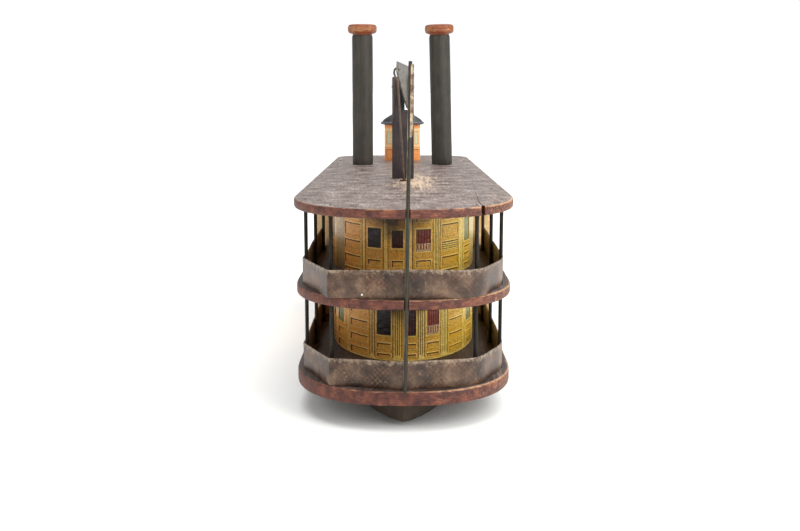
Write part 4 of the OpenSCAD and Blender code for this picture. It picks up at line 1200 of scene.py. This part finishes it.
# Red-orange paint on turned wood, browner in the grooves and rubbed to wood on the beads
cap_paint = worn_paint("red_orange_paint_on_turning",
                       [(0.3, "#4f2614"), (0.5, "#7c3f22"), (0.7, "#96552f")], "#a6764e",
                       0.9, 7, "X", (0.45, 0.6), 0.08)
stack_side, stack_y = 37.7 * MM, 106 * MM
cap_h = 9.5 * MM
deck_top = upper_high.z
for name, side, lean in (("port", -1, 0.0), ("starboard", 1, -1.5)):
    low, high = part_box("smokestack_" + name)
    stack_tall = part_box("stack_cap_port")[0].z - deck_top
    stand = (Matrix.Translation((side * stack_side, stack_y, deck_top))
             @ Matrix.Rotation(math.radians(lean), 4, "Y"))
    r = 9.7 * MM
    profile = [(r * 0.97, 0.2 * MM), (r, 1.2 * MM)]
    profile += [(r, 1.2 * MM + (stack_tall - 4 * MM) * i / 20) for i in range(1, 21)]
    profile += [(r * 0.985, stack_tall - 1.6 * MM), (r * 0.95, stack_tall - 0.4 * MM)]
    stack = lathe("stack_" + name, profile, stand, 56, 0.18 * MM)
    rub(stack, lambda p: 0.25 if p.z < deck_top + 2 * MM or p.z > deck_top + 0.93 * stack_tall
        else 0.05)
    fit(stack, "boat", ["smokestack_" + name], [stack_paint])

    cap_r = 13.5 * MM
    profile = [(3 * MM, -0.1 * MM), (r * 0.92, -0.1 * MM), (r * 0.97, 0.9 * MM)]
    profile += [(cap_r + x * MM, z * MM) for x, z in
                ((-2.6, 1.2), (-1.2, 1.7), (-0.4, 2.6), (-0.05, 3.8), (0, 4.7), (-0.12, 5.2),
                 (-0.02, 5.7), (0, 6.6), (-0.3, 7.8), (-0.9, 8.7), (-1.8, 9.2), (-2.8, 9.4))]
    profile += [(7.2 * MM, cap_h), (6.6 * MM, cap_h - 2.5 * MM), (1 * MM, cap_h - 3 * MM)]
    cap = lathe("stack_cap_turned_" + name, profile,
                stand @ Matrix.Translation((0, 0, stack_tall)), 56, 0.12 * MM)
    centre = stand @ Vector((0, 0, stack_tall))
    rub(cap, lambda p: min(0.6, max(0.0, ((p - centre).xy.length / MM - 12.2) / 2.6)))
    fit(cap, "boat", ["stack_cap_" + name], [cap_paint])

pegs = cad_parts["stack_pegs"]
pegs.data.materials.clear()
pegs.data.materials.append(bare_pine)

# ---- Pilothouse --------------------------------------------------------------------------
# An eight-sided pine block papered with windows over an orange dado, under a turned roof
# painted blue-black.
pilot_low, pilot_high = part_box("pilothouse_paper")
pilot_y = (pilot_low.y + pilot_high.y) / 2
apothem = (pilot_high.x - pilot_low.x) / 2
face_w = 2 * apothem * math.tan(math.radians(22.5)) / MM
pilot_tall = (pilot_high.z - pilot_low.z) / MM
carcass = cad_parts["pilothouse"]
carcass.data.materials.clear()
carcass.data.materials.append(bare_pine)

pilot_inks = [litho("litho_orange_dado", "#ee9048", "#ee9a50", 0.3, 0.5, painted_shade_share=0.0),
              litho("litho_orange_highlight", "#f2b070", "#f2bc78", 0.2, 0.5, painted_shade_share=0.0),
              litho("litho_orange_brown_line", "#a2602f", "#a86a34", 0.25, 0.5, painted_shade_share=0.0)]
pilot_inks += inks[3:7]
pilot_inks += [litho("litho_pale_green_glass", "#c6bd92", "#cdccaa", 0.15, 0.5, painted_shade_share=0.0),
               litho("litho_sand_margin", "#f0b878", "#e2c898", 0.15, 0.5, painted_shade_share=0.0)]


def pilot_parts():
    """Every face alike: a dado panel, a window and a frieze, in millimetres from its corner."""
    parts = []
    for i in range(8):
        s = i * face_w
        parts += [(s, s + face_w, 0, pilot_tall, 0, CREAM), (s, s + face_w, 0, 13, 0, OCHRE)]
        parts += panel(s + 2, s + face_w - 2, 2, 12, OCHRE)
        parts += [(s, s + face_w, 13, 14.6, RAISED, LIGHT)]
        parts += [(s + 2.2, s + face_w - 2.2, 16, 30, RAISED, LIGHT),
                  (s + 2.9, s + face_w - 2.9, 16.7, 29.3, SUNK, LINE),
                  (s + 3.4, s + face_w - 3.2, 16.9, 28.9, SUNK, GREEN),
                  (s + face_w / 2 - 0.5, s + face_w / 2 + 0.5, 16.7, 29.3, RAISED, LIGHT)]
        parts += [(s, s + face_w, 32, pilot_tall, RAISED, OCHRE)]
    return parts


def pilot_place(s, h, deep):
    """A point on the eight faces, begun at the corner to port of the stern face."""
    i = min(int(s / face_w + 1e-6), 7)
    along = (s - (i + 0.5) * face_w) * MM
    turn = math.radians(45 * i)
    out = apothem + deep * MM * (0 if abs(abs(along / MM) - face_w / 2) < 0.3 else 1)
    x = along * math.cos(turn) + out * math.sin(turn)
    y = along * math.sin(turn) - out * math.cos(turn)
    return (x, pilot_y + y, pilot_low.z + h * MM)


corners = [(i * face_w, i * face_w + 0.4, 0, pilot_tall, 0, CREAM) for i in range(8)]
pilot_paper = relief("pilothouse_print", corners + pilot_parts(), (0, 8 * face_w),
                     (0, pilot_tall), pilot_place, CREAM, joined=True)
fit(pilot_paper, "boat", ["pilothouse_paper"], pilot_inks, 40)

# Blue-black oil paint, glossier than the rest, greyed by dust on the slope
roof_paint = worn_paint("blue_black_oil_paint", [(0.36, "#08090c"), (0.52, "#14161b"),
                                                 (0.66, "#2c2f37")], "#4d5058",
                        0.8, 8, "X", (0.3, 0.5), 0.08)
low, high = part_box("pilothouse_roof")
roof_r = (high.x - low.x) / 2
edge_h = 2.6 * MM
roof_h = high.z - low.z
profile = [(apothem * 0.9, 0.05 * MM), (roof_r - 1.4 * MM, 0)]
profile += bead(roof_r - 1.2 * MM, 0.1 * MM, edge_h, 1.2 * MM, 6)
profile += [(roof_r - 1.9 * MM, edge_h + 0.5 * MM)]
profile += [(roof_r * (1 - t) * 0.93 + 1.4 * MM, edge_h + (roof_h - edge_h) * (t + 0.12 * math.sin(
    math.pi * t))) for t in (0.15, 0.35, 0.55, 0.75, 0.9)]
profile += [(1.6 * MM, roof_h - 0.4 * MM), (0.5 * MM, roof_h)]
roof = lathe("pilothouse_roof_turned", profile, Matrix.Translation((0, pilot_y, low.z)), 64,
             0.1 * MM)
rub(roof, lambda p: 0.8 if Vector((p.x, p.y - pilot_y)).length > roof_r - 1 * MM else 0.2)
fit(roof, "boat", ["pilothouse_roof"], [roof_paint])

# ---- Gallows and walking beam ------------------------------------------------------------
# A forked post sawn from one board, with a round-topped strip glued inside the fork; the beam
# is a diamond snipped from tin that rocks on a pin through both legs.
gallows_low, gallows_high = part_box("gallows")
strip_low, strip_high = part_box("gallows_strip")
gallows_y = (gallows_low.y + gallows_high.y) / 2
pin_low, pin_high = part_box("beam_pin")
pin_r = (pin_high.z - pin_low.z) / 2
pivot = Vector((3.5 * MM, gallows_y, (pin_low.z + pin_high.z) / 2))
slot_left, slot_right = strip_low.x, gallows_high.x - 3 * MM
fork_floor = strip_low.z

# Mauve-brown paint, worn paler up the after edges and dirty at the foot
gallows_paint = worn_paint("mauve_brown_paint", [(0.3, "#1f1a1c"), (0.5, "#33292b"),
                                                 (0.68, "#4a3d3c")], "#6f6159",
                           1.1, 14, "Z", (0.45, 0.65), 0.15)
strip_paint = worn_paint("bottle_green_black_paint", [(0.3, "#151a1b"), (0.6, "#222828")],
                         "#4a4a40", 0.8, 9, "Z", (0.4, 0.6), 0.1)
front_view = Matrix(((1, 0, 0, 0), (0, 0, -1, gallows_y), (0, 1, 0, 0), (0, 0, 0, 1)))
fork = [(gallows_low.x, gallows_low.z), (gallows_high.x, gallows_low.z),
        (gallows_high.x, gallows_high.z - 0.6 * MM), (gallows_high.x - 0.7 * MM, gallows_high.z),
        (slot_right, gallows_high.z), (slot_right, fork_floor), (slot_left, fork_floor),
        (slot_left, gallows_high.z - 0.2 * MM), (gallows_low.x + 1.2 * MM, gallows_high.z),
        (gallows_low.x, gallows_high.z - 0.8 * MM)]
gallows_half = (gallows_high.y - gallows_low.y) / 2
gallows = board("gallows_fork", fork, -gallows_half, gallows_half, 0.5 * MM, front_view)


def pin_drill():
    return lathe("cutter", [(pin_r + 0.05 * MM, -0.03), (pin_r + 0.05 * MM, 0.03)],
                 Matrix.Translation(pivot) @ along_x)


cut(gallows, [pin_drill()])
rub(gallows, lambda p: 0.15 + 0.5 * max(0.0, (p.z - fork_floor) / (gallows_high.z - fork_floor)) ** 2)
fit(gallows, "boat", ["gallows"], [gallows_paint])

strip_r = (strip_high.y - strip_low.y) / 2
strip_side = [(-strip_r, strip_low.z), (strip_r, strip_low.z)]
strip_side += [(strip_r * math.cos(a), strip_high.z - strip_r + strip_r * math.sin(a))
               for a in (math.pi * i / 16 for i in range(17))]
yz_view = Matrix(((0, 0, 1, 0), (1, 0, 0, gallows_y), (0, 1, 0, 0), (0, 0, 0, 1)))
strip = board("gallows_filler_strip", strip_side, strip_low.x, strip_high.x, 0.4 * MM, yz_view)
cut(strip, [pin_drill()])
rub(strip, lambda p: 0.2)
fit(strip, "boat", ["gallows_strip"], [strip_paint])

pin = lathe("beam_pivot_pin", [(0.3 * pin_r, pin_low.x - 0.35 * MM), (0.8 * pin_r, pin_low.x - 0.2 * MM),
                               (pin_r, pin_low.x + 0.3 * MM), (pin_r, pin_high.x - 0.3 * MM),
                               (0.8 * pin_r, pin_high.x + 0.2 * MM),
                               (0.3 * pin_r, pin_high.x + 0.35 * MM)],
            Matrix.Translation((0, pivot.y, pivot.z)) @ along_x, 24)
fit(pin, "boat", ["beam_pin"], [iron_wire])

# Snipped tinplate: dull grey, brown-spotted
tinplate, tree = start_material("dull_spotted_tinplate")
where = add(tree, "TexCoord")
spots = add(tree, "TexNoise", {"Vector": where.outputs["Object"], "Scale": 1 / (5 * MM),
                               "Detail": 9.0, "Roughness": 0.75})
tone = add(tree, "ValToRGB", {"Fac": spots.outputs["Fac"]},
           [(0.35, "#8f8c87"), (0.52, "#7c7872"), (0.64, "#675a4c"), (0.75, "#4c3828")])
dull = add(tree, "MapRange", {"Value": spots.outputs["Fac"], "From Min": 0.3, "From Max": 0.7,
                              "To Min": 0.45, "To Max": 0.75})
dents = add(tree, "Bump", {"Height": spots.outputs["Fac"], "Strength": 0.6, "Distance": 0.2 * MM})
skin = add(tree, "BsdfPrincipled", {"Base Color": tone.outputs["Color"], "Metallic": 0.75,
                                    "Roughness": dull.outputs["Result"],
                                    "Normal": dents.outputs["Normal"]})
add(tree, "OutputMaterial", {"Surface": skin.outputs["BSDF"]})

beam_half, beam_rise, beam_end = 52 * MM, 17 * MM, 4 * MM
beam_thin = 1.2 * MM
flat_view = Matrix(((0, 0, 1, 0), (1, 0, 0, 0), (0, 1, 0, 0), (0, 0, 0, 1)))
bend_lap = 0.6 * MM


def beam_set(yaw):
    """The tilt of the beam, with its half bent by yaw degrees out of the fore-and-aft line."""
    return (Matrix.Translation(pivot) @ Matrix.Rotation(math.radians(-17), 4, "X")
            @ Matrix.Rotation(math.radians(-yaw), 4, "Z")
            @ Matrix.Rotation(math.radians(2), 4, "Y"))


stern_wing, fore_wing = beam_set(9), beam_set(1.5)
halves = []
for way, set_to in ((-1, stern_wing), (1, fore_wing)):
    taper = (beam_rise - beam_end) / beam_half * bend_lap
    wing = [(-bend_lap, -beam_rise + taper), (0, -beam_rise), (beam_half, -beam_end),
            (beam_half, beam_end), (0, beam_rise), (-bend_lap, beam_rise - taper)]
    wing = [(way * y, z) for y, z in wing][::way]
    halves.append(board("walking_beam_plate", wing, -beam_thin / 2, beam_thin / 2, 0.25 * MM,
                        set_to @ flat_view))
hole_place = stern_wing @ Vector((0, -beam_half + 4 * MM, -1.5 * MM))
for half in halves:
    eye = lathe("cutter", [(1.35 * MM, -0.01), (1.35 * MM, 0.01)],
                Matrix.Translation(hole_place) @ along_x)
    cut(half, [pin_drill(), eye])
fit(join(halves), "beam", ["walking_beam"], [tinplate])

# ---- Connecting rod ----------------------------------------------------------------------
# Soft wire, its top bent to a narrow hook through the beam's end, running down through the
# slots in both decks to the crank.
rod_r = 0.75 * MM
rod_end = Vector((8 * MM, -40.25 * MM, rod_low.z))
hook = [hole_place + Vector((x, 0, z)) * MM for x, z in
        ((1.6, 0.2), (-1.2, 1.6), (-2.6, 0.2), (-2.9, -2.4), (-1.8, -5.0), (-0.1, -7.0))]
run = [hook[-1].lerp(rod_end, t) for t in (0.2, 0.4, 0.6, 0.8, 1.0)]
# Soft iron wire, brown with age
rod_wire = worn_paint("browned_soft_wire", [(0.36, "#3a3028"), (0.5, "#584a3d"), (0.64, "#77664f")],
                      "#94836c", 0.5, 4, "Z", (0.4, 0.6), 0.05)
rod = sweep("connecting_rod_wire", bend(hook + run, 1.1 * MM), rod_r, 14)
rub(rod, lambda p: 0.2)
fit(rod, "rod", ["connecting_rod"], [rod_wire])

# ---- Flagstaff and flag ------------------------------------------------------------------
# A thin staff let into the lower deck and notches in the other two, painted green-black and
# chipped, with a pale painted highlight down its port edge; a torn strip of the pasted paper flag is
# left near its top.
staff_paint = worn_paint("green_black_paint_chips_and_highlight", [(0.3, "#15150d"), (0.5, "#262214"),
                                                       (0.7, "#3c3522")], "#9d9078",
                         0.5, 5, "Z", (0.35, 0.6), 0.12, 0.35)
staff_foot = Vector((0.8 * MM, -288.65 * MM, lower_high.z))
lean = math.radians(0.85)
staff_way = Vector((math.sin(lean), 0, math.cos(lean)))
staff_len = (staff_high.z - lower_high.z) / math.cos(lean)


def staff_at(length):
    """A point of the staff's middle line, which wanders as a whittled stick does."""
    wander = 0.35 * MM * min(1, length / (20 * MM)) * min(1, max(0, (staff_len - length) / (30 * MM)))
    spot = staff_foot + staff_way * length
    return spot + Vector((noise.noise(Vector((length * 14, 3, 0))) * wander,
                          noise.noise(Vector((length * 14, 9, 0))) * wander * 0.3, 0))


staff_r = 1.25 * MM
staff_path = [staff_at(-5.5 * MM + (staff_len + 5.5 * MM) * i / 60) for i in range(61)]
staff = sweep("flagstaff_whittled", staff_path,
              lambda t: staff_r * (1 + 0.1 * noise.noise(Vector((t * 40, 1, 1)))) *
              (0.85 if t > 0.995 else 1), 18)
# Pale chips at random, and a pale streak down the port side that is a painted highlight along the lit
# edge
rub(staff, lambda p: 0.15 + 0.6 * max(0.0, noise.noise(p * 220))
    + (0.5 if p.x < staff_at(p.z - staff_foot.z).x - 0.75 * staff_r else 0.0))
fit(staff, "boat", ["flagstaff"], [staff_paint])

# Torn pasted paper: cream with brown glue stains
flag_paper, tree = start_material("glue_stained_paper")
where = add(tree, "TexCoord")
glue = add(tree, "TexNoise", {"Vector": where.outputs["Object"], "Scale": 1 / (4 * MM),
                              "Detail": 8.0, "Roughness": 0.75})
tone = add(tree, "ValToRGB", {"Fac": glue.outputs["Fac"]},
           [(0.34, "#b9ab92"), (0.46, "#94816a"), (0.55, "#5f4332"), (0.68, "#33211a")])
cockle = add(tree, "Bump", {"Height": glue.outputs["Fac"], "Strength": 0.8, "Distance": 0.3 * MM})
skin = add(tree, "BsdfPrincipled", {"Base Color": tone.outputs["Color"], "Roughness": 0.75,
                                    "Normal": cockle.outputs["Normal"]})
add(tree, "OutputMaterial", {"Surface": skin.outputs["BSDF"]})

flag_h, flag_drop = 43 * MM, 1.8 * MM
flag_steps = 60
rings = []
for i in range(flag_steps + 1):
    up = flag_h * i / flag_steps
    spot = staff_at(staff_len - flag_drop - flag_h + up)
    tear = noise.noise(Vector((up * 260, 5, 0))) * 0.7 + noise.noise(Vector((up * 900, 5, 2))) * 0.35
    reach = (0.9 + 0.6 * tear) * MM * min(1, 0.25 + up / (6 * MM))
    outer = [Vector((math.cos(a), math.sin(a), 0)) * (staff_r + 0.16 * MM)
             for a in (math.radians(d) for d in (-78, -60, -45, -30, -15))]
    inner = [v * 0.86 for v in reversed(outer)]
    curl = 0.5 * MM * noise.noise(Vector((up * 120, 8, 0)))
    lip = Vector((staff_r + reach, curl - 0.2 * MM, 0))
    ring = outer + [lip, lip + Vector((0, 0.3 * MM, 0)), Vector((staff_r * 0.9, 0.25 * MM, 0))]
    ring += inner
    rings.append([spot + v for v in ring])
flag = mesh_object("torn_flag_strip", [p for ring in rings for p in ring], skin_rings(rings))
fit(flag, "boat", ["flag_remnant"], [flag_paper], 60)
